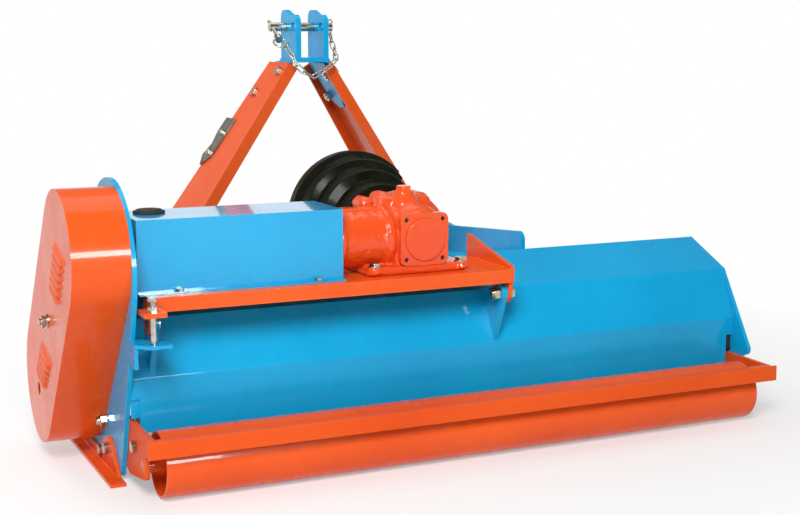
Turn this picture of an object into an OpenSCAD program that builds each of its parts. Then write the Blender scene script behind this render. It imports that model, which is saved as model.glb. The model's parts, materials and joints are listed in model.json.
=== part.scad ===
// Flail mower for a small tractor: hood deck with hammer rotor, rear roller,
// three-point mast, bevel gearbox on a tilting platform and belt drive.
// X runs across the mower, Y towards the tractor, Z up from the ground.
// Places are measured from the middle of the deck, the roller axis and the ground.

/* [Deck] */
// Inside width between the side plates
deck_w = 1266; // [1100:2:1500]
// Thickness of a side plate
plate_t = 8; // [6:1:10]
// Thickness of the hood sheet
hood_t = 4; // [3:0.5:5]
// Ridge of the hood ahead of the roller axis
ridge_y = 221; // [214:1:228]
// Height of the hood ridge
ridge_z = 340; // [336:1:342]
// Upper rear fold of the hood ahead of the roller axis
fold_y = 104; // [98:1:112]
// Height of the upper rear fold
fold_z = 288; // [282:1:292]
// Rear skirt of the hood ahead of the roller axis
skirt_y = 62; // [60:1:68]
// Height of the fold above the rear skirt
skirt_fold_z = 192; // [182:1:200]
// Height of the lower edge of the rear skirt
skirt_z = 96; // [86:1:120]
// Front fold of the hood ahead of the roller axis
front_y = 430; // [420:1:436]
// Height of the front fold
front_z = 288; // [282:1:294]
// Front lip of the hood ahead of the roller axis
lip_y = 474; // [468:1:478]
// Height of the front lip
lip_z = 236; // [232:1:244]
// Width of the skirt notch that a roller bracket passes through
notch_w = 15; // [12:1:40]
// Height of the skirt notch
notch_z = 156; // [150:1:175]

/* [Rotor] */
// Rotor axis ahead of the roller axis
rotor_y = 322; // [316:1:328]
// Height of the rotor axis
rotor_z = 146; // [142:1:152]
// Outer diameter of the rotor tube
rotor_d = 73; // [66:1:74]
// Wall of the rotor tube
rotor_wall = 8; // [6:1:12]
// Diameter of the rotor stub shafts
stub_d = 45; // [38:1:48]
// Radius of the flail pivots from the rotor axis
pivot_r = 62; // [61:0.5:64]
// Reach of a flail from its pivot to its tip
flail_len = 54; // [48:1:56]
// Width of a flail's cutting head
flail_w = 64; // [50:1:74]
// Diameter of a flail pin
flail_pin_d = 16; // [12:1:18]
// Flails in each of the four rows
flail_count = 6; // [4:1:7]

/* [Drive] */
// Cross shaft axis ahead of the roller axis
shaft_y = 115; // [111:1:119]
// Height of the cross shaft and input shaft
shaft_z = 401; // [398:1:404]
// Diameter of the cross shaft
shaft_d = 38; // [32:1:40]
// Input shaft axis to the left of the deck's middle
pto_offset = 84; // [78:1:90]
// Pitch radius of the drive pulley
drive_r = 82; // [76:1:86]
// Pitch radius of the driven pulley
driven_r = 60; // [54:1:70]
// Number of V-belts
belt_count = 3; // [2:1:3]
// Spacing of the V-belts
belt_pitch = 19; // [18:0.5:20]
// Width of a V-belt
belt_w = 13; // [11:0.5:14]
// Height of a V-belt
belt_h = 11; // [9:0.5:12]
// End radius of the belt cover
cover_r = 116; // [112:1:120]
// Depth of the belt cover
cover_depth = 98; // [94:1:110]
// Sheet thickness of the belt cover
cover_t = 2.5; // [2:0.5:4]

/* [Platform] */
// Gap between the left side plate and the end of the platform
platform_gap = 25; // [21:1:31]
// Right end of the platform from the middle of the deck
platform_right = 86; // [80:1:100]
// Rear face of the platform ahead of the roller axis
platform_y = 17; // [12:1:22]
// Front edge of the platform ahead of the roller axis
platform_front = 194; // [188:1:196]
// Height of the platform's top face
platform_z = 338; // [337:0.5:340]
// Plate thickness of the platform
platform_t = 6; // [5:0.5:7]
// Height of the rear flange
platform_h = 25; // [18:1:28]
// Pivot axis of the platform ahead of the roller axis
tilt_y = 44; // [42:1:48]
// Height of the platform's pivot axis
tilt_z = 290; // [286:1:292]
// Diameter of the platform's pivot bolts
tilt_d = 16; // [12:1:18]
// Tension screw diameter
screw_d = 10; // [8:1:12]

/* [Gearbox] */
// Side of the square rear flange
flange_w = 96; // [92:1:100]
// Hole spacing of the rear flange
flange_pitch = 73; // [70:1:74]
// Hole diameter of the rear flange
flange_hole_d = 8; // [6:0.5:9]
// Rear face of the gearbox ahead of the roller axis
gearbox_y = 50; // [46:1:54]
// Radius of the main barrel
barrel_r = 78; // [74:1:84]
// Radius of the output neck
neck_r = 53; // [50:1:58]
// Left end of the output neck from the middle of the deck
neck_left = 246; // [238:1:252]
// Thickness of the gearbox foot
foot_t = 16; // [12:1:20]
// Input spline diameter
spline_d = 34.9; // [30:0.1:40]
// Front end of the input shaft ahead of the roller axis
pto_end_y = 335; // [320:1:350]
// Rim radius of the drive shaft guard
guard_r = 137; // [130:1:142]
// Rim of the guard ahead of the roller axis
guard_y = 400; // [385:1:410]

/* [Shaft cover] */
// Rear wall of the cover ahead of the roller axis
box_y = 50; // [46:1:56]
// Depth of the cover
box_d = 140; // [134:1:144]
// Height of the cover above the platform
box_h = 127; // [122:1:130]
// Sheet thickness of the cover
box_t = 3; // [2:0.5:4]

/* [Hitch] */
// Distance between the lower hitch plates
hitch_w = 683; // [660:1:720]
// Thickness of a hitch plate
hitch_t = 10; // [8:1:14]
// Lower pins ahead of the roller axis
low_pin_y = 828; // [810:1:840]
// Height of the lower pins
low_pin_z = 327; // [320:1:335]
// Diameter of the lower pins
low_pin_d = 22; // [20:0.5:24]
// Height of the top link pin above the lower pins
mast_h = 460; // [455:1:466]
// Top link pin ahead of the roller axis
top_pin_y = 660; // [655:1:664]
// Diameter of the top link pin
top_pin_d = 19; // [16:0.5:20]
// Gap between the clevis ears
ear_gap = 51; // [46:1:54]
// Thickness of a clevis ear
ear_t = 12; // [10:1:14]
// Height at which a mast arm meets its foot plate
arm_foot_z = 283; // [276:1:290]
// Rear edge of the mast arms ahead of the roller axis
arm_y = 612; // [606:1:616]
// Width of a mast arm at its top
arm_top_w = 122; // [116:1:130]
// Growth of a mast arm's width down to its foot
arm_grow_w = 96; // [80:1:104]
// Plate thickness of a mast arm
arm_t = 6; // [5:0.5:8]
// Depth of a mast arm's flanges
arm_flange = 24; // [20:1:28]

/* [Roller] */
// Outer diameter of the roller
roller_d = 114.3; // [100:0.1:116]
// Gap between an end of the roller and the side plate
roller_gap = 27; // [25:1:60]
// Wall of the roller tube
roller_wall = 5; // [3:0.5:8]
// Diameter of the roller's stub axles
axle_d = 25; // [20:1:30]
// Pivot of the roller brackets ahead of the roller axis
bracket_y = 215; // [205:1:222]
// Height of the bracket pivot
bracket_z = 84; // [78:1:90]
// Thickness of a roller bracket
bracket_t = 8; // [6:1:10]
// Height of the scraper bar
scraper_h = 30; // [24:1:34]

/* [Skids] */
// Width of a skid's sole
skid_w = 28; // [24:1:36]
// Thickness of a skid
skid_t = 6; // [5:0.5:8]

/* [Hidden] */
$fn = 64;

// Clearances: overrun of cuts, running fit, moving faces, bolt holes
cut = 1;
run_gap = 0.05;
face_gap = 0.3;
bolt_gap = 0.6;
corner_steps = 8;
arc_steps = 36;

// Fastener proportions, as shares of the bolt diameter
hex_share = 1.55;
head_share = 0.65;
nut_share = 0.85;
washer_share = 2.2;
washer_t_share = 0.2;
bolt_d = 12;
small_bolt_d = 8;
collar_share = 0.8;

// Faces of the deck
inner_x = deck_w / 2;
outer_x = inner_x + plate_t;
pto_x = -pto_offset;
platform_left = inner_x - platform_gap;
roller_len = deck_w - 2 * roller_gap;

// Corners of the side plates, with the radius of each corner
eye_ahead = 33;
eye_below = 25;
plate_eye = [shaft_y + eye_ahead, shaft_z - eye_below];
plate_eye_r = 153;
plate_tip = [128, 22];
plate_tip_r = 16;
plate_top = [450, 246];
plate_top_r = 26;
plate_toe = [440, 40];
plate_toe_r = 34;
plate_low_z = 6;
plate_front_y = 478;
plate_chin_z = 231;
plate_heel = [5, 128, 12];
plate_waist = [80, 92, 20];
plate_back_y = 108;

// Lugs, ears and holes of the deck
lug_w = 38;
lug_t = 6;
lug_z = 266;
lug_drop = 42;
lug_reach = 58;
lug_back = 18;
lug_leg = 76;
lug_slant = 24;
shaft_room = 16;
shaft_hole_r = shaft_d / 2 + shaft_room;
ear_r = 19;
ear_w = 10;
blade_w = 30;
blade_t = 10;
blade_along = 140;

// Seats of the rotor bearings
bearing_flange_r = 60;
bearing_boss_r = 37;
bearing_flange_t = 14;
bearing_depth = 31;
bearing_bolt_r = 49;

// Front flaps
flap_y = 462;
flap_z = 212;
flap_rod_d = 14;
flap_count = 14;
flap_gap = 3;
flap_t = 6;
flap_eye_r = 11;
flap_low_z = 44;

// Skids: corners of the side flange along the deck
skid_rear = 80;
skid_front = 420;
skid_nose = [478, 62];
skid_hump = [186, 62];
skid_hump_back = 110;
skid_valley = [268, 22];
skid_front_hump = [424, 66];
skid_bolt_at = [[190, 40], [232, 26], [440, 52]];

// Belt line
belt_top = 4;
belt_slack = 0.5;
pulley_in = 17;
pulley_rim = 5;
groove_room = 1.5;
shaft_end_out = 8;
pulley_x = -(outer_x + pulley_in);
pulley_w = belt_count * belt_pitch + pulley_rim;
pulley_groove = belt_h + groove_room;
cover_stud_at = [(shaft_y + rotor_y) / 2, (shaft_z + rotor_z) / 2];
stud_d = 12;
stud_out = 15;
louvre_slat = 9;
louvre_count = 7;
louvre_pitch = 13.5;
louvre_rise = 3;
louvre_r = [57, 50];
louvre_below = [27, 271];
louvre_behind = [11, 12];
drain_r = 12;
drain_low = 17;
drain_at = [rotor_y, rotor_z - drain_low];
x_drive_end = pulley_x - pulley_w - shaft_end_out;

// Tension screw
screw_out = 2;
screw_back = 27;
screw_room = 2;
screw_foot = 5;
screw_at = [-(platform_left + screw_out), platform_y - screw_back];
screw_lug = [38, 46, 8];
screw_lug_z = platform_z - platform_h;
screw_hole_r = screw_d / 2 + screw_room;
screw_head_z = platform_z;
screw_foot_z = lug_z - screw_foot;

// Gusset at the right end of the platform
gusset_top = 46;
gusset_t = 8;

// Gearbox body
gear_r = 50;
pinion_r = gear_r / 3;
gear_face = 15;
gear_gap = 0.8;
gear_back = 9;
journal_d = 40;
bearing_r = 40;
bearing_w = 20;
end_bearing_r = 34;
end_bearing_w = 16;
barrel_back = 72;
barrel_front = 186;
nose_front = 240;
nose_r = 50;
nose_rim_r = 64;
nose_rim_t = 9;
flange_t = 14;
flange_round = 13;
rear_neck_r = 62;
cap_r = 39;
cap_t = 4;
foot_left = 106;
foot_right = 90;
foot_front = 190;
foot_bolt_in = 11;
foot_hole_rear = 12;
foot_hole_front = 126;
neck_rim_r = 59;
neck_rim_t = 9;
neck_block = 52;
rib_t = 10;
plug_d = 17;
plug_h = 9;
plug_boss = 83;
spline_count = 6;
spline_w = 8.6;
spline_root_d = 29.7;

// Guard steps as shares of its radius and depth
guard_t = 3;
guard_start = 42;
guard_sweep = 173;
guard_radius_shares = [0.44, 0.60, 0.64, 0.77, 0.80, 0.90, 0.925, 1, 1];
guard_depth_shares = [0, 0, 0.28, 0.34, 0.56, 0.62, 0.80, 0.86, 1];

// Shaft cover
box_over = 11;
box_left = platform_left + box_over;
box_flange = 13;
cap_in = 47;
cap_ahead = 27;
cap_at = [cap_in - box_left, shaft_y + cap_ahead];
rubber_r = 28;
rubber_h = 7;
cover_bolt_in = 71;
cover_bolt_right = 50;
cover_bolt_x = [cover_bolt_in - box_left, -neck_left - cover_bolt_right];
pillow_in = 53;
pillow_x = pillow_in - box_left;
pillow_w = 24;
pillow_r = 33;
pillow_foot = [68, 64];
pillow_bolt = 23;
rubber_rim_share = 0.6;

// Mast
arm_below = 75;
arm_z = low_pin_z + mast_h - arm_below;
arm_half = 50;
leg_t = 8;
leg_len = 112;
leg_w = 104;
arm_bolt_at = [[24, -24], [92, -80]];
clevis_t = 10;
clevis_half = 44;
clevis_y = 600;
clevis_d = 92;
ear_over = 37;
ear_low_over = 26;
ear_round = 18;
ear_top_z = low_pin_z + mast_h + ear_over;
ear_low_z = low_pin_z + mast_h + ear_low_over;
ear_dip = 36;
ear_hole_back = 40;
foot_plate_t = 8;
foot_plate_y = [642, 796];
foot_plate_z = [258, 342];
foot_plate_bolts = [[676, 322], [764, 322]];
bracket_plate_t = 4;
bracket_plate_at = [-150, -272];
bracket_plate_in = 36;
bracket_plate_out = 24;
bracket_bolt_z = [-188, -240];
bracket_shares = [[-1, 0], [1, 0], [1, 0.3], [0.4, 0.55], [1, 0.8], [0, 1], [-1, 0.8]];
bracket_bolt_in = 16;

// Hitch plates, beam and pins
hitch_back_y = 282;
hitch_back_top = 366;
hitch_back_r = 18;
hitch_dip = [600, 340, 120];
hitch_nose_r = 40;
hitch_low_z = 246;
hitch_chin = [600, 234, 60];
hitch_beam_w = 60;
hitch_beam_t = 5;
beam_ahead = 14;
beam_below = 6;
hitch_beam_y = lip_y + beam_ahead;
hitch_beam_z = lip_z - beam_below;
pin_collar_r = 20;
pin_collar_t = 10;
pin_len = 74;
pin_hole_r = 6;
pin_hole_in = 14;
top_pin_out = 38;
top_pin_right = 30;
linch_d = 8;
linch_tilt = 32;
linch_ahead = 22;
linch_behind = 38;
linch_head_r = 8;
linch_head = 14;
linch_in = 6;
linch_ring_r = 16;
linch_wire = 4;

// Chain between the linchpin and the top link pin
chain_wire = 3.2;
chain_wide = 6.6;
chain_slack = 0.9;
chain_joints = [
    [-62.4, -66.1, -39.3], [-50.9, -71.4, -60.4], [-41.3, -73, -80.8], [-24.6, -73, -96],
    [-3.9, -73, -105.2], [16.4, -73.3, -95.2], [35.3, -72.9, -82.7], [51.8, -64.5, -69.8],
    [58.5, -46.4, -57.9], [62.3, -27.3, -46.4], [64.5, -10.5, -31.4], [65.1, 0, -14]
];
chain_hook = [65.1, 0, 14];
chain_twist = 41.5;

// Roller brackets, in the deck's side view
bracket_eye_r = 26;
bracket_drop = 20;
bracket_tip_r = 14;
bracket_belly = [85, 20, 30];
bracket_top = [[100, 119, 12], [-66, 117, 4], [-66, 86, 4], [-20, 78, 6]];
bracket_bolt_at = [45, 80];
scraper_y = -66;
scraper_t = 6;
scraper_z = 87;
scraper_lip = 13;
axle_z = roller_d / 2;
roller_recess = 34;
roller_disc_t = 8;

// Overall box, for the origin under the middle of the mower
stand_left = outer_x + cover_depth + stud_out;
stand_right = outer_x + bearing_depth;
stand_rear = scraper_y - scraper_t;
stand_front = low_pin_y + hitch_nose_r;
centre_x = (stand_right - stand_left) / 2;
centre_y = (stand_rear + stand_front) / 2;

// Paint and metal colours
blue = [0.07, 0.58, 0.84];
orange = [0.93, 0.35, 0.14];
black = [0.06, 0.06, 0.06];
zinc = [0.74, 0.73, 0.70];
steel = [0.55, 0.55, 0.55];
dark = [0.22, 0.22, 0.23];

function unit(v) = v / norm(v);
function side(v) = [-v.y, v.x];
function flipped(p) = [for (i = [len(p) - 1:-1:0]) p[i]];

// Outline beside an open line of points, at distance d to its left
function beside(p, d) = [
    for (i = [0:len(p) - 1])
        let (
            a = side(unit(p[max(i, 1)] - p[max(i, 1) - 1])),
            b = side(unit(p[min(i + 1, len(p) - 1)] - p[min(i, len(p) - 2)]))
        )
        p[i] + d * (a + b) / ((a + b) * a)
];

// Corner of an outline given as [y, z, radius], between its neighbours a and c
function corner(a, b, c) =
    let (
        at = [b.x, b.y],
        u = unit([a.x, a.y] - at),
        v = unit([c.x, c.y] - at),
        half = acos(u * v) / 2,
        mid = at + unit(u + v) * b.z / sin(half),
        from = at + u * b.z / tan(half) - mid,
        to = at + v * b.z / tan(half) - mid,
        start = atan2(from.y, from.x),
        swing = atan2(from.x * to.y - from.y * to.x, from * to)
    )
    [for (i = [0:corner_steps]) spoke(mid, b.z, start + swing * i / corner_steps)];

// Outline through corners given as [y, z, radius]
module rounded(p) {
    n = len(p);
    polygon([
        for (i = [0:n - 1])
            each (p[i].z > 0 ? corner(p[(i + n - 1) % n], p[i], p[(i + 1) % n]) : [[p[i].x, p[i].y]])
    ]);
}

// Folded sheet along an open line of points
module folded(p, t) {
    polygon(concat(p, flipped(beside(p, t))));
}

// Two circles joined by their outer tangents
module slot(a, ra, b, rb) {
    turn = atan2(b.y - a.y, b.x - a.x);
    open = acos((ra - rb) / norm(b - a));
    up = [cos(turn + open), sin(turn + open)];
    low = [cos(turn - open), sin(turn - open)];
    translate(a) circle(r = ra);
    translate(b) circle(r = rb);
    polygon([a + ra * up, b + rb * up, b + rb * low, a + ra * low]);
}

// Corner points of the same outline
function slot_points(a, ra, b, rb) =
    let (
        turn = atan2(b.y - a.y, b.x - a.x),
        open = acos((ra - rb) / norm(b - a))
    )
    concat(
        [for (i = [0:arc_steps]) spoke(a, ra, turn + open + (360 - 2 * open) * i / arc_steps)],
        [for (i = [0:arc_steps]) spoke(b, rb, turn - open + 2 * open * i / arc_steps)]
    );

module place() {
    translate([-centre_x, -centre_y, 0]) children();
}

// Outline in the side view, given thickness t from x towards the right
module yz(x, t) {
    translate([x, 0, 0]) rotate([90, 0, 90]) linear_extrude(t) children();
}

// Outline in the rear view, given thickness t from y towards the front
module xz(y, t) {
    translate([0, y + t, 0]) rotate([90, 0, 0]) linear_extrude(t) children();
}

module rod_x(x, at, r, h) {
    translate([x, at.x, at.y]) rotate([0, 90, 0]) cylinder(r = r, h = h);
}

module rod_y(x, y, z, r, h) {
    translate([x, y, z]) rotate([-90, 0, 0]) cylinder(r = r, h = h);
}

module rod_z(x, y, z, r, h) {
    translate([x, y, z]) cylinder(r = r, h = h);
}

module both_sides() {
    children();
    mirror([1, 0, 0]) children();
}

// Same shape on the right and left of the input shaft
module about_pto() {
    translate([2 * pto_x, 0, 0]) mirror([1, 0, 0]) children();
}

module hexagon(d, h) {
    cylinder(d = d * hex_share / cos(30), h = h, $fn = 6);
}

// Bolt along Z: its head below 0, its nut above the grip
module bolt(d, grip) {
    translate([0, 0, -d * head_share]) hexagon(d, d * head_share);
    cylinder(d = d, h = grip + d * (nut_share + washer_t_share));
    translate([0, 0, grip]) nut(d);
}

module nut(d) {
    difference() {
        hexagon(d, d * nut_share);
        translate([0, 0, -cut]) cylinder(d = d, h = d * nut_share + 2 * cut);
    }
    cylinder(d = d, h = d * nut_share);
}

// Bolt with a head alone, its shank going down into a plate
module cap_bolt(d, shank) {
    hexagon(d, d * head_share);
    translate([0, 0, -shank]) cylinder(d = d, h = shank + d * head_share / 2);
}

module bolt_hole_x(x, at, d, h) {
    rod_x(x - cut, at, d / 2 + bolt_gap, h + 2 * cut);
}

shaft = [shaft_y, shaft_z];
rotor = [rotor_y, rotor_z];
tilt = [tilt_y, tilt_z];
bracket_eye = [bracket_y, bracket_z];
axle = [0, axle_z];
low_pin = [low_pin_y, low_pin_z];
top_pin = [top_pin_y, low_pin_z + mast_h];
flap_at = [flap_y, flap_z];

function spoke(c, r, a) = c + r * [cos(a), sin(a)];

hood_line = [
    [skirt_y, skirt_z], [skirt_y, skirt_fold_z], [fold_y, fold_z], [ridge_y, ridge_z],
    [front_y, front_z], [lip_y, lip_z]
];

// Holes that both side plates share
module plate_holes(x) {
    rod_x(x - cut, rotor, stub_d / 2 + 4 * bolt_gap, plate_t + 2 * cut);
    for (a = [45:90:315])
        bolt_hole_x(x, spoke(rotor, bearing_bolt_r, a), bolt_d, plate_t);
    for (at = skid_bolt_at)
        bolt_hole_x(x, at, bolt_d, plate_t);
    bolt_hole_x(x, bracket_eye, tilt_d, plate_t);
    rod_x(x - cut, flap_at, flap_rod_d / 2 + run_gap, plate_t + 2 * cut);
}

module tension_lug() {
    x = -outer_x;
    rear = screw_at.y - lug_back;
    difference() {
        union() {
            translate([0, 0, lug_z - lug_t]) linear_extrude(lug_t)
                polygon([
                    [x, rear + lug_slant], [x + lug_slant, rear], [x + lug_reach, rear],
                    [x + lug_reach, rear + lug_w], [x + plate_t, rear + lug_leg], [x, rear + lug_leg]
                ]);
            translate([x, rear + lug_slant, lug_z - lug_drop])
                cube([lug_t, lug_leg - lug_slant, lug_drop]);
        }
        rod_z(screw_at.x, screw_at.y, lug_z - lug_t - cut, screw_hole_r, lug_t + 2 * cut);
    }
}

module left_side_plate() color(blue) place() {
    difference() {
        union() {
            yz(-outer_x, plate_t) {
                slot(plate_eye, plate_eye_r, plate_tip, plate_tip_r);
                slot(plate_eye, plate_eye_r, plate_top, plate_top_r);
                slot(plate_top, plate_top_r, plate_toe, plate_toe_r);
                slot(plate_tip, plate_tip_r, plate_toe, plate_toe_r);
                polygon([plate_eye, plate_tip, plate_toe, plate_top]);
            }
            tension_lug();
        }
        plate_holes(-outer_x);
        rod_x(-outer_x - cut, shaft, shaft_hole_r, plate_t + 2 * cut);
        bolt_hole_x(-outer_x, cover_stud_at, stud_d, plate_t);
    }
}

module right_side_plate() color(blue) place() {
    difference() {
        yz(inner_x, plate_t)
            rounded([
                [ridge_y, ridge_z, 0], [fold_y, fold_z, 0], plate_heel, plate_waist,
                [plate_back_y, plate_low_z, plate_tip_r], [plate_front_y, plate_low_z, plate_toe_r],
                [plate_front_y, plate_chin_z, plate_tip_r], [front_y, front_z, 0]
            ]);
        plate_holes(inner_x);
    }
}

// Ear on the hood that carries the platform's pivot bolt
module pivot_ear(x) {
    difference() {
        yz(x, ear_w) {
            translate(tilt) circle(r = ear_r);
            polygon([
                tilt - [ear_r, 0], [skirt_y + hood_t / 2, skirt_fold_z],
                [fold_y + hood_t / 2, fold_z], tilt + [0, ear_r]
            ]);
        }
        bolt_hole_x(x, tilt, tilt_d, ear_w);
    }
}

right_ear_x = platform_right - gusset_t - face_gap - ear_w;
left_ear_x = -platform_left + gusset_t + face_gap;

module hood() color(blue) place() {
    difference() {
        yz(-inner_x, deck_w) folded(hood_line, -hood_t);
        both_sides()
            translate([inner_x - notch_w, skirt_y - cut, skirt_z - cut])
                cube([notch_w + cut, hood_t + 2 * cut, notch_z - skirt_z + cut]);
    }
    pivot_ear(right_ear_x);
    pivot_ear(left_ear_x);
}

// Bar under the front slope of the hood that the flails cut against
module counter_blade() color(dark) place() {
    run = unit([front_y - ridge_y, front_z - ridge_z]);
    foot = [ridge_y, ridge_z] + blade_along * run - (hood_t + run_gap) * side(run);
    low = foot - blade_w * side(run);
    yz(-inner_x, deck_w) polygon([foot, foot + blade_t * run, low + blade_t * run, low]);
}

module flap_rod() color(zinc) place() {
    rod_x(-outer_x, flap_at, flap_rod_d / 2, 2 * outer_x);
}

// Hanging flaps side by side on their rod
module front_flaps() color(dark) place() {
    pitch = deck_w / flap_count;
    for (i = [0:flap_count - 1])
        translate([-inner_x + i * pitch + flap_gap / 2, 0, 0])
            difference() {
                union() {
                    rod_x(0, flap_at, flap_eye_r, pitch - flap_gap);
                    translate([0, flap_y - flap_t / 2, flap_low_z])
                        cube([pitch - flap_gap, flap_t, flap_z - flap_low_z]);
                }
                rod_x(-cut, flap_at, flap_rod_d / 2 + run_gap, pitch + cut);
            }
}

module skid() {
    difference() {
        union() {
            yz(outer_x, skid_w)
                folded([[skid_rear, 0], [skid_front, 0], skid_nose], skid_t);
            yz(outer_x, skid_t)
                polygon([
                    [skid_hump_back, 0], skid_hump - [skid_bolt_at[0].y / 2, skid_t],
                    skid_hump, skid_hump + [skid_bolt_at[0].y / 2, -skid_t], skid_valley,
                    [skid_front, skid_valley.y], skid_front_hump, skid_nose,
                    [skid_front, 0]
                ]);
        }
        for (at = skid_bolt_at)
            bolt_hole_x(outer_x, at, bolt_d, skid_t);
    }
}

module left_skid() color(orange) place() mirror([1, 0, 0]) skid();

module right_skid() color(orange) place() skid();

module skid_bolts() color(zinc) place()
    both_sides()
        for (at = skid_bolt_at)
            translate([outer_x + skid_t, at.x, at.y]) rotate([0, 90, 0])
                cap_bolt(bolt_d, plate_t + skid_t);

module hitch_beam() color(blue) place()
    difference() {
        translate([pto_x - hitch_w / 2 + hitch_t / 2, hitch_beam_y, hitch_beam_z])
            cube([hitch_w - hitch_t, hitch_beam_w, hitch_beam_w]);
        translate([pto_x - hitch_w / 2, hitch_beam_y + hitch_beam_t, hitch_beam_z + hitch_beam_t])
            cube([hitch_w, hitch_beam_w - 2 * hitch_beam_t, hitch_beam_w - 2 * hitch_beam_t]);
    }

hitch_right_x = pto_x + hitch_w / 2 - hitch_t / 2;

// Height of the hood's front slope at y
function hood_top(y) = ridge_z + (front_z - ridge_z) * (y - ridge_y) / (front_y - ridge_y);

module hitch_plate() {
    difference() {
        yz(hitch_right_x, hitch_t)
            rounded([
                [hitch_back_y, hood_top(hitch_back_y), 0], [hitch_back_y, hitch_back_top, hitch_back_r],
                hitch_dip, [low_pin_y, low_pin_z + hitch_nose_r, hitch_nose_r],
                [low_pin_y + hitch_nose_r, low_pin_z + hitch_nose_r, hitch_nose_r - 2 * hitch_beam_t],
                [low_pin_y + hitch_nose_r, hitch_low_z, hitch_nose_r], hitch_chin,
                [hitch_beam_y + hitch_beam_w, hitch_beam_z, 0], [hitch_beam_y, hitch_beam_z, 0],
                [lip_y, lip_z, 0], [front_y, front_z, 0]
            ]);
        bolt_hole_x(hitch_right_x, low_pin, low_pin_d, hitch_t);
        for (at = foot_plate_bolts)
            bolt_hole_x(hitch_right_x, at, bolt_d, hitch_t);
    }
}

module right_hitch_plate() color(blue) place() hitch_plate();

module left_hitch_plate() color(blue) place() about_pto() hitch_plate();

// Lower hitch pin with collar, linchpin hole and nut behind the plate
module hitch_pin() {
    x = hitch_right_x + hitch_t;
    difference() {
        union() {
            rod_x(x - hitch_t - low_pin_d, low_pin, low_pin_d / 2, pin_len + hitch_t + low_pin_d);
            rod_x(x, low_pin, pin_collar_r, pin_collar_t);
            translate([x - hitch_t, low_pin.x, low_pin.y]) rotate([0, -90, 0])
                hexagon(low_pin_d, low_pin_d * nut_share);
        }
        rod_z(x + pin_len - pin_hole_in, low_pin.x, low_pin.y - low_pin_d, pin_hole_r, 2 * low_pin_d);
    }
}

module lower_hitch_pins() color(zinc) place() {
    hitch_pin();
    about_pto() hitch_pin();
}

arm_run = hitch_w / 2 - hitch_t / 2 - arm_half;
arm_lean = atan((arm_run - foot_plate_t) / (arm_z - arm_foot_z));
arm_len = arm_run / sin(arm_lean) + arm_flange;
arm_low_w = arm_top_w + arm_grow_w;
foot_face_x = hitch_right_x - foot_plate_t;

// Frame of the right arm: X outwards from its web, Z up along it, from its top outer edge
module arm_frame() {
    translate([pto_x + arm_half, 0, arm_z]) rotate([0, -arm_lean, 0]) children();
}

function arm_edge_y(z) = arm_y + arm_top_w - arm_grow_w * z / arm_len;

module mast_arm(notched) {
    difference() {
        arm_frame() {
            difference() {
                yz(-arm_t, arm_t)
                    polygon([[arm_y, 0], [arm_y + arm_top_w, 0], [arm_y + arm_low_w, -arm_len],
                        [arm_y, -arm_len]]);
                for (at = arm_bolt_at)
                    bolt_hole_x(-arm_t, [arm_y + at.x, at.y], bolt_d, arm_t);
                if (notched)
                    for (z = bracket_bolt_z)
                        bolt_hole_x(-arm_t, [arm_edge_y(z) - bracket_bolt_in, z], small_bolt_d, arm_t);
            }
            translate([-arm_flange, arm_y, -arm_len]) cube([arm_flange, arm_t, arm_len]);
            yz(-arm_flange, arm_flange)
                polygon([[arm_y + arm_top_w - arm_t, 0], [arm_y + arm_top_w, 0],
                    [arm_y + arm_low_w, -arm_len], [arm_y + arm_low_w - arm_t, -arm_len]]);
        }
        translate([foot_face_x, 0, 0]) cube([hitch_w, low_pin_y + hitch_w, arm_z]);
    }
    difference() {
        translate([foot_face_x, foot_plate_y[0], foot_plate_z[0]])
            cube([foot_plate_t, foot_plate_y[1] - foot_plate_y[0], foot_plate_z[1] - foot_plate_z[0]]);
        for (at = foot_plate_bolts)
            bolt_hole_x(foot_face_x, at, bolt_d, foot_plate_t);
    }
}

module right_mast_arm() color(orange) place() mast_arm(false);

module left_mast_arm() color(orange) place() about_pto() mast_arm(true);

ear_out = ear_gap / 2 + ear_t;

// Clevis leg that lies inside a mast arm
module clevis_leg() {
    arm_frame()
        difference() {
            yz(-arm_t - leg_t, leg_t)
                polygon([
                    [arm_y + 2 * arm_t, arm_t], [arm_y + leg_w, arm_t],
                    [arm_y + leg_w, -leg_len + arm_flange], [arm_y + leg_w - arm_flange, -leg_len],
                    [arm_y + leg_w / 2, -leg_len], [arm_y + 2 * arm_t, -leg_len / 2]
                ]);
            for (at = arm_bolt_at)
                bolt_hole_x(-arm_t - leg_t, [arm_y + at.x, at.y], bolt_d, leg_t);
        }
}

module clevis_ear() {
    low = arm_z + clevis_t / 2;
    front = clevis_y + clevis_d;
    difference() {
        yz(pto_x + ear_gap / 2, ear_t)
            rounded([
                [clevis_y, low, 0], [clevis_y, ear_low_z, ear_round],
                [clevis_y + ear_dip, ear_low_z, ear_dip],
                [front - 2 * ear_t, ear_top_z, ear_t], [front, ear_top_z, ear_round], [front, low, 0]
            ]);
        rod_x(pto_x, top_pin, top_pin_d / 2 + run_gap, hitch_w);
        rod_x(pto_x, top_pin - [ear_hole_back, 0], top_pin_d / 2 + run_gap, hitch_w);
    }
}

module mast_clevis() color(blue) place() {
    translate([pto_x, 0, arm_z]) xz(clevis_y, clevis_d)
        polygon([[-clevis_half, 0], [clevis_half, 0], [ear_out, clevis_t], [-ear_out, clevis_t]]);
    clevis_ear();
    about_pto() clevis_ear();
    clevis_leg();
    about_pto() clevis_leg();
}

linch_x = pto_x - ear_out - top_pin_out + linch_in;

// Frame of the linchpin: Z forward and up along its shank, from the top link pin's axis
module linch_frame() {
    translate([linch_x, top_pin.x, top_pin.y]) rotate([linch_tilt - 90, 0, 0]) children();
}

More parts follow.
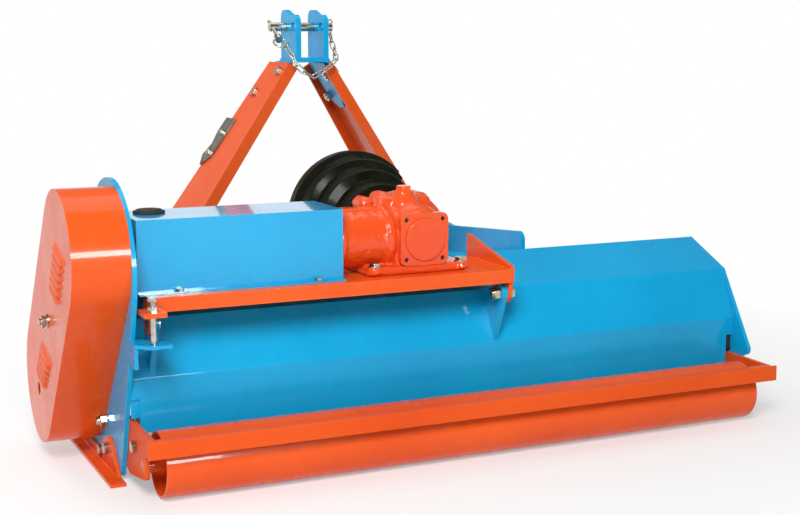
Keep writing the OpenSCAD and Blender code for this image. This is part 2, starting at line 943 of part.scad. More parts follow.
module top_link_pin() color(zinc) place()
    difference() {
        union() {
            rod_x(pto_x - ear_out - top_pin_out, top_pin, top_pin_d / 2,
                2 * ear_out + top_pin_out + top_pin_right);
            rod_x(pto_x + ear_out, top_pin, top_pin_d * collar_share, top_pin_d / 2);
        }
        linch_frame() translate([0, 0, -top_pin_d]) cylinder(d = linch_d + 2 * run_gap, h = 2 * top_pin_d);
        rod_z(pto_x + chain_hook.x - (chain_wide + chain_wire) / 2, top_pin.x, top_pin.y - top_pin_d,
            chain_wire, 2 * top_pin_d);
    }

// Linchpin with the ring on its head
module linchpin() color(zinc) place()
    linch_frame() {
        translate([0, 0, -linch_behind]) cylinder(d = linch_d, h = linch_behind + linch_ahead);
        translate([0, 0, -linch_behind - linch_head]) cylinder(r = linch_head_r, h = linch_head);
        translate([0, 0, -linch_behind - linch_head - linch_ring_r + linch_wire]) rotate([90, 0, 0])
            rotate_extrude() translate([linch_ring_r, 0]) circle(d = linch_wire);
    }

module mast_bolts() color(zinc) place() {
    arm_bolts();
    about_pto() arm_bolts();
    about_pto()
        arm_frame()
            for (z = bracket_bolt_z)
                translate([-arm_t, arm_edge_y(z) - bracket_bolt_in, z])
                    rotate([0, 90, 0]) bolt(small_bolt_d, arm_t + bracket_plate_t);
}

module arm_bolts() {
    arm_frame()
        for (at = arm_bolt_at)
            translate([0, arm_y + at.x, at.y]) rotate([0, -90, 0]) bolt(bolt_d, arm_t + leg_t);
    for (at = foot_plate_bolts)
        translate([hitch_right_x + hitch_t, at.x, at.y])
            rotate([0, -90, 0]) bolt(bolt_d, hitch_t + foot_plate_t);
}

// Bare steel bracket on the front edge of the left arm
module mast_bracket() color(steel) place()
    about_pto()
        arm_frame()
            difference() {
                yz(0, bracket_plate_t)
                    polygon([
                        for (p = bracket_shares)
                            let (
                                z = bracket_plate_at[0] + p.y * (bracket_plate_at[1] - bracket_plate_at[0]),
                                reach = p.x > 0 ? bracket_plate_out : bracket_plate_in
                            )
                            [arm_edge_y(z) + p.x * reach, z]
                    ]);
                for (z = bracket_bolt_z)
                    bolt_hole_x(0, [arm_edge_y(z) - bracket_bolt_in, z], small_bolt_d, bracket_plate_t);
            }

// Oval wire link along X between two joints a pitch apart
module chain_link(pitch) {
    half = (pitch + chain_slack - chain_wide) / 2;
    r = (chain_wide + chain_wire) / 2;
    for (s = [-1, 1]) {
        translate([s * half, 0, 0]) rotate([0, 0, s * 90 - 180])
            rotate_extrude(angle = 180) translate([r, 0]) circle(d = chain_wire, $fn = 16);
        translate([-half, s * r, 0]) rotate([0, 90, 0])
            cylinder(d = chain_wire, h = 2 * half, $fn = 16);
    }
}

// Retaining chain from the linchpin's ring to the free end of the top link pin
module pin_chain() color(zinc) place() {
    hook = [pto_x + chain_hook.x, top_pin.x, top_pin.y];
    for (i = [0:len(chain_joints) - 2]) {
        a = chain_joints[i];
        run = chain_joints[i + 1] - a;
        roll = (i + 1) * 90 + chain_twist * (1 - i / (len(chain_joints) - 2));
        translate([pto_x, top_pin.x, top_pin.y] + a + run / 2)
            rotate([0, -atan2(run.z, norm([run.x, run.y])), atan2(run.y, run.x)])
                rotate([roll, 0, 0]) chain_link(norm(run));
    }
    translate(hook) rotate([90, -90, 0]) chain_link(2 * chain_hook.z);
}

module belt_cover() color(orange) place() {
    difference() {
        yz(-outer_x - cover_depth, cover_depth) slot(shaft, cover_r, rotor, cover_r);
        yz(-outer_x - cover_depth + cover_t, cover_depth)
            slot(shaft, cover_r - cover_t, rotor, cover_r - cover_t);
        bolt_hole_x(-outer_x - cover_depth, cover_stud_at, stud_d, cover_t);
        rod_x(-outer_x - cover_depth - cut, drain_at, drain_r, cover_t + 2 * cut);
    }
    run = unit(rotor - shaft);
    for (k = [0, 1])
        for (i = [0:louvre_count - 1]) {
            off = (i - (louvre_count - 1) / 2) * louvre_pitch * louvre_r[k] / louvre_r[0];
            mid = shaft + (louvre_below[k] + off) * run - louvre_behind[k] * side(run);
            half = sqrt(louvre_r[k] * louvre_r[k] - off * off) - louvre_slat / 2;
            yz(-outer_x - cover_depth - louvre_rise, louvre_rise)
                slot(mid - half * side(run), louvre_slat / 2, mid + half * side(run), louvre_slat / 2);
        }
}

// Stud through the belt cover, with washer and nut outside and a nut behind the plate
module belt_cover_stud() color(zinc) place() {
    x = -outer_x - cover_depth;
    rod_x(x - stud_out, cover_stud_at, stud_d / 2, cover_depth + plate_t + stud_out + stud_d);
    translate([x, cover_stud_at.x, cover_stud_at.y]) rotate([0, -90, 0]) {
        cylinder(d = stud_d * washer_share, h = stud_d * washer_t_share);
        translate([0, 0, stud_d * washer_t_share]) hexagon(stud_d, stud_d * head_share);
    }
    translate([-inner_x, cover_stud_at.x, cover_stud_at.y]) rotate([0, 90, 0])
        hexagon(stud_d, stud_d * head_share);
}

// Flange bearing: its flange at 0, its boss towards +Z, closed by a cap where it has no way through
module flange_bearing(through) {
    difference() {
        union() {
            cylinder(r = bearing_flange_r, h = bearing_flange_t);
            cylinder(r = bearing_boss_r, h = bearing_depth);
        }
        translate([0, 0, -cut])
            cylinder(d = stub_d + 2 * run_gap,
                h = bearing_depth + (through ? 2 * cut : -bearing_flange_t / 3));
        for (a = [45:90:315])
            rotate(a) translate([bearing_bolt_r, 0, -cut])
                cylinder(d = bolt_d + 2 * bolt_gap, h = bearing_depth + 2 * cut);
    }
}

module left_rotor_bearing() color(dark) place()
    translate([-inner_x, rotor_y, rotor_z]) rotate([0, 90, 0]) flange_bearing(true);

module right_rotor_bearing() color(dark) place()
    translate([outer_x, rotor_y, rotor_z]) rotate([0, 90, 0]) flange_bearing(false);

module bearing_bolts() color(zinc) place()
    for (x = [-outer_x, inner_x])
        for (a = [45:90:315]) {
            at = spoke(rotor, bearing_bolt_r, a);
            translate([x, at.x, at.y]) rotate([0, 90, 0]) bolt(bolt_d, plate_t + bearing_flange_t);
        }

function belt_x(i) = pulley_x - pulley_w / 2 + (i - (belt_count - 1) / 2) * belt_pitch;

module v_belts() color(black) place()
    for (i = [0:belt_count - 1])
        yz(belt_x(i) - belt_w / 2, belt_w)
            difference() {
                polygon(slot_points(shaft, drive_r + belt_top, rotor, driven_r + belt_top));
                polygon(slot_points(shaft, drive_r + belt_top - belt_h, rotor, driven_r + belt_top - belt_h));
            }

// Grooved pulley whose bore has diameter bore_d
module pulley(at, pitch_r, bore_d) {
    difference() {
        rod_x(pulley_x - pulley_w, at, pitch_r + belt_top, pulley_w);
        rod_x(pulley_x - pulley_w - cut, at, bore_d / 2 + run_gap, pulley_w + 2 * cut);
        for (i = [0:belt_count - 1])
            translate([belt_x(i) - belt_w / 2 - belt_slack, at.x, at.y]) rotate([0, 90, 0])
                difference() {
                    cylinder(r = pitch_r + belt_top + cut, h = belt_w + 2 * belt_slack);
                    translate([0, 0, -cut])
                        cylinder(r = pitch_r + belt_top - pulley_groove, h = belt_w + 2 * (belt_slack + cut));
                }
    }
}

module drive_pulley() color(steel) place() pulley(shaft, drive_r, shaft_d);

module driven_pulley() color(steel) place() pulley(rotor, driven_r, stub_d);

// Bolts from inside through the roller brackets into the side plates
module roller_pivot_bolts() color(zinc) place()
    both_sides()
        translate([inner_x - bracket_t - 2 * face_gap, bracket_y, bracket_z]) rotate([0, -90, 0])
            cap_bolt(tilt_d, plate_t + 2 * face_gap + bracket_t);

// Bolt and plain headed pin through the hood's ears and the platform's gussets
module platform_pivot_bolts() color(zinc) place() {
    grip = gusset_t + 2 * face_gap + ear_w;
    translate([platform_right + face_gap, tilt_y, tilt_z]) rotate([0, -90, 0]) bolt(tilt_d, grip);
    rod_x(-platform_left, tilt, tilt_d / 2, gusset_t + face_gap + ear_w);
    rod_x(left_ear_x + ear_w, tilt, tilt_d * collar_share, tilt_d * washer_t_share);
}

module gusset(x, rise) {
    difference() {
        yz(x, gusset_t) {
            slot(tilt, ear_r, [tilt_y, platform_z - ear_r], ear_r);
            polygon([[platform_y + platform_t, tilt_z], [platform_y + platform_t, platform_z],
                [tilt_y + ear_r, platform_z], [tilt_y + ear_r, tilt_z]]);
            if (rise > 0)
                polygon([[platform_y, platform_z - platform_h], [platform_y, platform_z + platform_t],
                    [platform_front, platform_z + rise], [platform_front, platform_z - platform_t],
                    [tilt_y + ear_r, platform_z - platform_h]]);
        }
        rod_x(x - cut, tilt, tilt_d / 2 + run_gap, gusset_t + 2 * cut);
    }
}

module gearbox_platform() color(orange) place() {
    difference() {
        yz(-platform_left, platform_left + platform_right)
            folded([[platform_y, platform_z - platform_h], [platform_y, platform_z],
                [platform_front, platform_z]], -platform_t);
        for (at = foot_bolts)
            rod_z(at.x, at.y, platform_z - platform_t - cut, bolt_d / 2 + bolt_gap, platform_t + 2 * cut);
        for (x = cover_bolt_x)
            rod_z(x, box_y - box_flange / 2, platform_z - platform_t - cut,
                small_bolt_d / 2 + bolt_gap, platform_t + 2 * cut);
    }
    gusset(platform_right - gusset_t, gusset_top);
    gusset(-platform_left, 0);
    difference() {
        translate([screw_at.x - screw_lug.x / 2, platform_y - screw_lug.y, screw_lug_z])
            cube(screw_lug + [0, platform_t / 2, 0]);
        rod_z(screw_at.x, screw_at.y, screw_lug_z - cut, screw_hole_r, screw_lug.z + 2 * cut);
    }
}

// Bolts through the feet of the gearbox and of the shaft's end bearing
foot_bolts = [
    for (x = [pto_x - foot_left + foot_bolt_in, pto_x + foot_right - foot_bolt_in])
        for (y = [gearbox_y + foot_hole_rear, gearbox_y + foot_hole_front])
            [x, y],
    for (x = [pillow_x - pillow_bolt, pillow_x + pillow_bolt])
        [x, shaft_y]
];

module tension_screw() color(zinc) place() {
    low = screw_lug_z + screw_lug.z;
    translate([screw_at.x, screw_at.y, 0]) {
        translate([0, 0, screw_foot_z]) cylinder(d = screw_d, h = screw_head_z - screw_foot_z);
        translate([0, 0, screw_head_z]) hexagon(screw_d, screw_d * head_share);
        translate([0, 0, low]) hexagon(screw_d, screw_d * nut_share);
    }
}

// Square with rounded corners in the rear view
module square_flange(w, r) {
    for (s = [-1, 1]) {
        square([w, w - 2 * r], center = true);
        square([w - 2 * r, w], center = true);
        for (t = [-1, 1]) translate([s * (w / 2 - r), t * (w / 2 - r)]) circle(r = r);
    }
}

module gearbox_body() {
    translate([pto_x, 0, shaft_z]) xz(gearbox_y, flange_t) square_flange(flange_w, flange_round);
    rod_y(pto_x, gearbox_y, shaft_z, rear_neck_r, barrel_front - gearbox_y);
    barrel_start = gearbox_y + barrel_back;
    rod_y(pto_x, barrel_start, shaft_z, barrel_r, barrel_front - barrel_start);
    rod_y(pto_x, barrel_front, shaft_z, nose_r, nose_front - barrel_front);
    rod_y(pto_x, nose_front - nose_rim_t, shaft_z, nose_rim_r, nose_rim_t);
    rod_x(-neck_left, shaft, neck_r, neck_left + pto_x);
    rod_x(-neck_left, shaft, neck_rim_r, neck_rim_t);
    for (a = [0:60:300])
        translate([pto_x, barrel_front, shaft_z]) rotate([0, a, 0])
            translate([0, 0, -rib_t / 2]) cube([barrel_r - rib_t, rib_t * 2, rib_t]);
    translate([pto_x - foot_left, gearbox_y, platform_z])
        cube([foot_left + foot_right, foot_front - gearbox_y, foot_t]);
    translate([pto_x - neck_block, gearbox_y + flange_t, platform_z])
        cube([2 * neck_block, barrel_front - gearbox_y - flange_t, shaft_z - platform_z]);
    rod_z(pto_x - plug_d / 2, shaft_y + plug_d / 2, shaft_z, plug_d, plug_boss);
}

module gearbox_housing() color(orange) place()
    difference() {
        gearbox_body();
        translate([pto_x - hitch_w / 2, 0, platform_z - hitch_w]) cube([hitch_w, hitch_w, hitch_w]);
        rod_y(pto_x, gearbox_y + end_bearing_w + cap_t, shaft_z, gear_r + gear_gap * 4,
            barrel_front - nose_rim_t - gearbox_y - end_bearing_w - cap_t);
        rod_y(pto_x, gearbox_y - cut, shaft_z, end_bearing_r + run_gap, hitch_w / 2);
        rod_y(pto_x, barrel_front - 2 * nose_rim_t, shaft_z, bearing_r + run_gap, nose_front);
        rod_x(-neck_left - cut, shaft, bearing_r + run_gap, neck_left + pto_x + cut);
        for (sx = [-1, 1])
            for (sz = [-1, 1])
                rod_y(pto_x + sx * flange_pitch / 2, gearbox_y - cut, shaft_z + sz * flange_pitch / 2,
                    flange_hole_d / 2, flange_t + cut);
        for (at = foot_bolts)
            rod_z(at.x, at.y, platform_z - cut, bolt_d / 2 + bolt_gap, foot_t + 2 * cut);
        rod_z(pto_x - plug_d / 2, shaft_y + plug_d / 2, shaft_z + gear_r, plug_d / 4 + run_gap, barrel_r);
    }

// Pressed cap that closes the rear of the gearbox
module gearbox_end_cap() color(orange) place() {
    rod_y(pto_x, gearbox_y - cap_t, shaft_z, cap_r, cap_t);
    rod_y(pto_x, gearbox_y, shaft_z, end_bearing_r, cap_t);
}

module filler_plug() color(orange) place()
    translate([pto_x - plug_d / 2, shaft_y + plug_d / 2, shaft_z + plug_boss]) {
        hexagon(plug_d, plug_h);
        translate([0, 0, -2 * plug_h]) cylinder(d = plug_d / 2, h = 2 * plug_h);
    }

module gearbox_bolts() color(zinc) place()
    for (at = foot_bolts)
        translate([at.x, at.y, platform_z + foot_t]) cap_bolt(bolt_d, foot_t + platform_t);

module ring(r, bore_r, w) {
    difference() {
        cylinder(r = r, h = w);
        translate([0, 0, -cut]) cylinder(r = bore_r, h = w + 2 * cut);
    }
}

neck_bearing_x = [-neck_left + neck_rim_t, -neck_left + neck_rim_t + 2 * bearing_w];

module gearbox_bearings() color(steel) place() {
    translate([pto_x, gearbox_y + cap_t, shaft_z]) rotate([-90, 0, 0])
        ring(end_bearing_r, spline_d / 2 + run_gap, end_bearing_w);
    translate([pto_x, nose_front - nose_rim_t - bearing_w, shaft_z]) rotate([-90, 0, 0])
        ring(bearing_r, journal_d / 2 + run_gap, bearing_w);
    for (x = neck_bearing_x)
        translate([x, shaft_y, shaft_z]) rotate([0, 90, 0])
            ring(bearing_r, shaft_d / 2 + run_gap, bearing_w);
}

module shaft_cover() color(blue) place() {
    right = -neck_left;
    long = box_left - neck_left;
    difference() {
        union() {
            translate([-box_left, box_y, platform_z]) cube([long, box_d, box_h]);
            translate([-box_left, box_y - box_flange, platform_z]) cube([long, box_flange + box_t, box_t]);
        }
        translate([-box_left + box_t, box_y + box_t, platform_z - cut])
            cube([long - 2 * box_t, box_d - 2 * box_t, box_h - box_t + cut]);
        rod_x(-box_left - cut, shaft, shaft_hole_r, box_t + 2 * cut);
        rod_x(right - box_t - cut, shaft, shaft_hole_r, box_t + 2 * cut);
        rod_z(cap_at.x, cap_at.y, platform_z + box_h - box_t - cut, rubber_r - box_t, box_t + 2 * cut);
        for (x = cover_bolt_x)
            rod_z(x, box_y - box_flange / 2, platform_z - cut, small_bolt_d / 2 + bolt_gap, box_t + 2 * cut);
    }
}

// Rubber cap over the greasing hole in the shaft cover
module cover_cap() color(black) place()
    translate([cap_at.x, cap_at.y, platform_z + box_h]) {
        cylinder(r = rubber_r, h = rubber_h * rubber_rim_share);
        cylinder(r1 = rubber_r - box_t / 2, r2 = rubber_r - 2 * box_t, h = rubber_h);
        translate([0, 0, -2 * box_t]) cylinder(r = rubber_r - box_t - run_gap, h = 2 * box_t);
    }

module cover_bolts() color(zinc) place()
    for (x = cover_bolt_x)
        translate([x, box_y - box_flange / 2, platform_z + box_t]) rotate([180, 0, 0])
            bolt(small_bolt_d, box_t + platform_t);

// Pillow block that carries the left end of the cross shaft
module shaft_end_bearing() color(dark) place()
    difference() {
        union() {
            rod_x(pillow_x - pillow_w / 2, shaft, pillow_r, pillow_w);
            translate([pillow_x - pillow_foot.x / 2, shaft_y - pillow_foot.y / 2, platform_z])
                cube([pillow_foot.x, pillow_foot.y, foot_t]);
            translate([pillow_x - pillow_w / 2, shaft_y - pillow_r, platform_z])
                cube([pillow_w, 2 * pillow_r, shaft_z - platform_z]);
        }
        rod_x(pillow_x - pillow_w, shaft, shaft_d / 2 + run_gap, 2 * pillow_w);
        for (at = foot_bolts)
            rod_z(at.x, at.y, platform_z - cut, bolt_d / 2 + bolt_gap, foot_t + 2 * cut);
    }

// Stepped bell guard over the input shaft, open below
module pto_guard() color(black) place() {
    line = [
        for (i = [0:len(guard_radius_shares) - 1])
            [guard_r * guard_radius_shares[i], (guard_y - nose_front) * guard_depth_shares[i]]
    ];
    translate([pto_x, nose_front, shaft_z]) rotate([-90, 0, 0])
        rotate(-guard_start - guard_sweep) rotate_extrude(angle = guard_sweep) folded(line, guard_t);
}

module input_shaft() color(steel) place() {
    seat = nose_front - nose_rim_t - bearing_w;
    rod_y(pto_x, gearbox_y + cap_t + cut, shaft_z, spline_d / 2, seat - gearbox_y - cap_t - cut);
    rod_y(pto_x, seat, shaft_z, journal_d / 2, nose_front - seat);
    rod_y(pto_x, nose_front, shaft_z, spline_root_d / 2, pto_end_y - nose_front);
    intersection() {
        rod_y(pto_x, nose_front, shaft_z, spline_d / 2, pto_end_y - nose_front);
        for (i = [0:spline_count / 2 - 1])
            translate([pto_x, nose_front, shaft_z]) rotate([0, i * 360 / spline_count, 0])
                translate([-spline_d, 0, -spline_w / 2])
                    cube([2 * spline_d, pto_end_y - nose_front, spline_w]);
    }
}

// Bevel wheel on the Z axis: its apex at 0, its large end at height h and radius r
module bevel(r, h, bore_r) {
    inner = 1 - gear_face / norm([r, h]);
    translate([0, 0, gear_gap])
        rotate_extrude()
            polygon([
                [bore_r, h * inner], [r * inner, h * inner], [r, h], [r, h + gear_back / 2],
                [r * inner, h + gear_back], [bore_r, h + gear_back]
            ]);
}

module input_bevel_gear() color(steel) place()
    translate([pto_x, shaft_y, shaft_z]) rotate([-90, 0, 0])
        bevel(gear_r, pinion_r, spline_d / 2 + run_gap);

module bevel_pinion() color(steel) place()
    translate([pto_x, shaft_y, shaft_z]) rotate([0, -90, 0]) bevel(pinion_r, gear_r, pinion_r / 2);

module cross_shaft() color(steel) place() {
    back = pto_x - gear_r - gear_back - gear_gap;
    rod_x(x_drive_end, shaft, shaft_d / 2, back - x_drive_end);
    rod_x(back - gear_back, shaft, pinion_r / 2 - run_gap, 2 * gear_back + gear_face / 2);
}

rotor_room = 4;
rotor_left = inner_x - bearing_depth - rotor_room;
rotor_right = inner_x - 2 * rotor_room;
row_angles = [45, 135, 225, 315];
row_start_share = 0.28;
row_shift_share = 0.44;
flail_pitch = (rotor_left + rotor_right) / flail_count;
flail_head_share = 0.42;
lug_plate = 8;
eye_w = 26;
flail_t = 10;
flail_eye_r = 14;
lug_gap = 1;

function row_at(k) = spoke(rotor, pivot_r, row_angles[k]);
// Flail places along the rotor, with neighbouring rows half a pitch apart
function flail_x(k, i) = -rotor_left + (i + row_start_share + row_shift_share * (k % 2)) * flail_pitch;

module rotor_tube() color(dark) place() {
    difference() {
        union() {
            rod_x(-rotor_left, rotor, rotor_d / 2, rotor_left + rotor_right);
            for (k = [0:3])
                for (i = [0:flail_count - 1])
                    for (s = [-1, 1])
                        yz(flail_x(k, i) + s * (eye_w + 2 * lug_gap + lug_plate) / 2 - lug_plate / 2,
                            lug_plate)
                            slot(spoke(rotor, rotor_d / 3, row_angles[k]), flail_eye_r,
                                row_at(k), flail_eye_r);
        }
        rod_x(-rotor_left - cut, rotor, rotor_d / 2 - rotor_wall, rotor_left + rotor_right + 2 * cut);
        for (k = [0:3])
            rod_x(-rotor_left, row_at(k), flail_pin_d / 2 + run_gap, rotor_left + rotor_right);
    }
    for (x = [-rotor_left, rotor_right - 2 * lug_plate])
        rod_x(x, rotor, rotor_d / 2 - rotor_wall / 2, 2 * lug_plate);
    rod_x(x_drive_end, rotor, stub_d / 2, -rotor_left - x_drive_end + lug_plate);
    rod_x(rotor_right - lug_plate, rotor, stub_d / 2, outer_x - rotor_right + lug_plate + bearing_depth / 2);
}

module flail_pins() color(zinc) place()
    for (k = [0:3])
        for (i = [0:flail_count - 1]) {
            grip = eye_w + 2 * (lug_gap + lug_plate);
            translate([flail_x(k, i) - grip / 2, row_at(k).x, row_at(k).y])
                rotate([0, 90, 0]) bolt(flail_pin_d, grip);
        }

// Hammer flail hanging from its eye
module flail() {
    head = flail_len * flail_head_share;
    difference() {
        union() {
            rod_x(-eye_w / 2, [0, 0], flail_eye_r, eye_w);
            translate([-eye_w / 2, -flail_t / 2, -flail_len + head / 2])
                cube([eye_w, flail_t, flail_len - head / 2]);
            yz(-flail_w / 2, flail_w)
                polygon([[-flail_t / 2, -flail_len + head], [flail_t / 2, -flail_len + head],
                    [flail_t / 2, -flail_len + head / 4], [flail_t / 4, -flail_len],
                    [-flail_t / 4, -flail_len], [-flail_t / 2, -flail_len + head / 4]]);
        }
        rod_x(-eye_w, [0, 0], flail_pin_d / 2 + run_gap, 2 * eye_w);
    }
}

module flail_row(k) color(steel) place()
    for (i = [0:flail_count - 1])
        translate([flail_x(k, i), row_at(k).x, row_at(k).y]) flail();

bracket_out = inner_x - face_gap;

module roller_bracket() {
    x = bracket_out - bracket_t;
    difference() {
        yz(x, bracket_t)
            rounded(concat(bracket_top, [
                [bracket_top[3].x, axle_z - bracket_drop, bracket_tip_r],
                bracket_belly,
                [bracket_y + bracket_eye_r, bracket_z - bracket_eye_r, bracket_eye_r],
                [bracket_y + bracket_eye_r, bracket_z + bracket_eye_r, bracket_eye_r]
            ]));
        rod_x(x - cut, axle, axle_d / 2 + run_gap, bracket_t + 2 * cut);
        rod_x(x - cut, bracket_eye, tilt_d / 2 + run_gap, bracket_t + 2 * cut);
        bolt_hole_x(x, bracket_bolt_at, bolt_d, bracket_t);
    }
}

module right_roller_bracket() color(orange) place() roller_bracket();

module left_roller_bracket() color(orange) place() mirror([1, 0, 0]) roller_bracket();

// Scraper strip behind the roller, folded forward along its top
module scraper_bar() color(orange) place() {
    lip_half = bracket_out - bracket_t;
    translate([-outer_x, scraper_y - scraper_t, scraper_z]) cube([2 * outer_x, scraper_t, scraper_h]);
    translate([-lip_half, scraper_y - scraper_t, scraper_z + scraper_h - scraper_t])
        cube([2 * lip_half, scraper_t + scraper_lip, scraper_t]);
}

module roller_bolts() color(zinc) place()
    both_sides()
        translate([bracket_out, bracket_bolt_at.x, bracket_bolt_at.y]) rotate([0, -90, 0])
            bolt(bolt_d, bracket_t);

module roller_tube() color(orange) place() {
    half = roller_len / 2;
    difference() {
        rod_x(-half, axle, roller_d / 2, roller_len);
        rod_x(-half - cut, axle, roller_d / 2 - roller_wall, roller_len + 2 * cut);
    }
    both_sides() {
        rod_x(half - roller_recess - roller_disc_t, axle, roller_d / 2 - roller_wall / 2, roller_disc_t);
        rod_x(half - roller_recess - roller_disc_t, axle, axle_d / 2,
            bracket_out - half + roller_recess + roller_disc_t);
    }
}

left_side_plate();
right_side_plate();
hood();
counter_blade();
flap_rod();
left_skid();
right_skid();
skid_bolts();
hitch_beam();
left_hitch_plate();
right_hitch_plate();
lower_hitch_pins();
left_mast_arm();
right_mast_arm();
mast_clevis();
top_link_pin();
linchpin();
mast_bolts();
mast_bracket();
pin_chain();
belt_cover();
belt_cover_stud();
left_rotor_bearing();
right_rotor_bearing();
bearing_bolts();
v_belts();
roller_pivot_bolts();
platform_pivot_bolts();
gearbox_platform();
gearbox_housing();
gearbox_end_cap();
filler_plug();
gearbox_bolts();
gearbox_bearings();
shaft_cover();
cover_cap();
cover_bolts();
shaft_end_bearing();
pto_guard();
input_shaft();
input_bevel_gear();
cross_shaft();
bevel_pinion();
drive_pulley();
rotor_tube();
driven_pulley();
flail_pins();
flail_row(0);  // flails_a
flail_row(1);  // flails_b
flail_row(2);  // flails_c
flail_row(3);  // flails_d
left_roller_bracket();
right_roller_bracket();
scraper_bar();
roller_bolts();
roller_tube();
front_flaps();
tension_screw();
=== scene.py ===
import json
import math

import bmesh
import bpy
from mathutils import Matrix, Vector, noise

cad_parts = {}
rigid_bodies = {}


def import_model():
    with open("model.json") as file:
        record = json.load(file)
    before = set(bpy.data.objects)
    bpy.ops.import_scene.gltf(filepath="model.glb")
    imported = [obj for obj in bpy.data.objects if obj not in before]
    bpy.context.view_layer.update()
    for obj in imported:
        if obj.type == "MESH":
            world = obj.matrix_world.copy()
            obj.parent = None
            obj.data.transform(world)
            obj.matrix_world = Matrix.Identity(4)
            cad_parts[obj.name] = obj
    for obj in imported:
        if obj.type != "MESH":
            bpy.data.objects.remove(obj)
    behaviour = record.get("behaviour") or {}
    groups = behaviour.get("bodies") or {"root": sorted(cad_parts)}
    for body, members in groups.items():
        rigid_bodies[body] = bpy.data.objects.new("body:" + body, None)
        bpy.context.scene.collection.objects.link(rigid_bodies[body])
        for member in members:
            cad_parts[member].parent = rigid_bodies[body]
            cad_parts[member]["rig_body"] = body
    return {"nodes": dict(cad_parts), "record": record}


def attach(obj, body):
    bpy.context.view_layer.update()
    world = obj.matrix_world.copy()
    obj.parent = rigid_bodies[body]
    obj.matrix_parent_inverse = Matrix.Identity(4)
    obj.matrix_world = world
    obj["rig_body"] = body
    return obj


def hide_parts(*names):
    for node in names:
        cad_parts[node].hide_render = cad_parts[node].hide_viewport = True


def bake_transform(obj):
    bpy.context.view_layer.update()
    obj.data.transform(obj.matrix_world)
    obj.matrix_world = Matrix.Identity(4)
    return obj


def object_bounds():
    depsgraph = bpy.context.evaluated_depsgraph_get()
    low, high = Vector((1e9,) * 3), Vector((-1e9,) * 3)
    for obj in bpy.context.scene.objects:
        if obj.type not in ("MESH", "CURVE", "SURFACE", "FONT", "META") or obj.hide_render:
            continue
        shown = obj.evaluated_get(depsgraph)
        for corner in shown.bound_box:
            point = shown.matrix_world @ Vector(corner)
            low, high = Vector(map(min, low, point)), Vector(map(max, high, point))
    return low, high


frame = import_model()
cad_lo, cad_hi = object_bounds()
nodes = frame["nodes"]
scene = bpy.context.scene

# The source's lengths are in millimetres from its own origin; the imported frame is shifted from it.
MM = 0.001
SHIFT_X, SHIFT_Y = 41, -398
PTO_X, SHAFT_Y, SHAFT_Z = -84, 115, 401
PLATFORM_Z = 338
COVER_X = -739
FOOT_BOLTS = ((-179, 62), (-5, 62), (-179, 176), (-5, 176))
EDGE_ANGLE = math.radians(32)
FLAT_ANGLE = math.radians(0.4)
FOLD_ANGLES = math.radians(8), math.radians(52)
DECK = nodes["hood"]["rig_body"]
PLATFORM = nodes["gearbox_housing"]["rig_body"]


def at(x, y, z):
    return Vector(((x + SHIFT_X) / 1000, (y + SHIFT_Y) / 1000, z / 1000))


def add(tree, kind, operation=None, **inputs):
    """A new shader node with some of its inputs set."""
    n = tree.nodes.new("ShaderNode" + kind)
    if operation:
        n.operation = operation
    for key, value in inputs.items():
        n.inputs[key.replace("_", " ")].default_value = value
    return n


# Camera
cam = bpy.data.objects.new("camera", bpy.data.cameras.new("camera"))
scene.collection.objects.link(cam)
cam.location = (-1.157, -2.6241, 0.7689)
cam.rotation_euler = (math.radians(80.99), 0, math.radians(-25.05))
cam.data.lens = 63.0
cam.data.sensor_width = 36.0
cam.data.sensor_fit = "HORIZONTAL"
scene.camera = cam


# Light
scene.view_settings.view_transform = "Standard"
scene.world = bpy.data.worlds.new("studio")
scene.world.use_nodes = True
wt = scene.world.node_tree
wt.nodes.clear()
path = add(wt, "LightPath")
way = add(wt, "TexCoord")
parts = add(wt, "SeparateXYZ")
# What paint and metal mirror: a white sweep ahead of the machine and to its sides, and a greyer
# room behind it and above.
room = add(wt, "MapRange", From_Min=-0.9, From_Max=-0.15, To_Min=0.14, To_Max=1.0)
ceiling = add(wt, "MapRange", From_Min=0.16, From_Max=0.34, To_Min=1.0, To_Max=0.28)
glow = add(wt, "Math", "MULTIPLY")
# The light that falls on the object is even, and the camera sees white.
shine = add(wt, "Mix", A=0.31)
seen = add(wt, "Math", "MAXIMUM")
level = add(wt, "Mix", B=1.0)
sky = add(wt, "Background", Color=(1, 1, 1, 1))
out = add(wt, "OutputWorld")
for source, target in (
        (way.outputs["Generated"], parts.inputs[0]),
        (parts.outputs["Y"], room.inputs["Value"]),
        (parts.outputs["Z"], ceiling.inputs["Value"]),
        (room.outputs[0], glow.inputs[0]),
        (ceiling.outputs[0], glow.inputs[1]),
        (path.outputs["Is Glossy Ray"], shine.inputs["Factor"]),
        (glow.outputs[0], shine.inputs["B"]),
        (path.outputs["Is Camera Ray"], seen.inputs[0]),
        (path.outputs["Is Transmission Ray"], seen.inputs[1]),
        (seen.outputs[0], level.inputs["Factor"]),
        (shine.outputs["Result"], level.inputs["A"]),
        (level.outputs["Result"], sky.inputs["Strength"]),
        (sky.outputs[0], out.inputs["Surface"])):
    wt.links.new(source, target)


def lamp(name, place, target, size, power, height=None, diffuse=True, glossy=True):
    data = bpy.data.lights.new(name, "AREA")
    data.shape = "RECTANGLE" if height else "DISK"
    data.size = size
    if height:
        data.size_y = height
    data.energy = power
    o = bpy.data.objects.new(name, data)
    scene.collection.objects.link(o)
    o.location = place
    o.visible_diffuse = diffuse
    o.visible_glossy = glossy
    o.rotation_euler = (Vector(target) - Vector(place)).to_track_quat("-Z", "Y").to_euler()


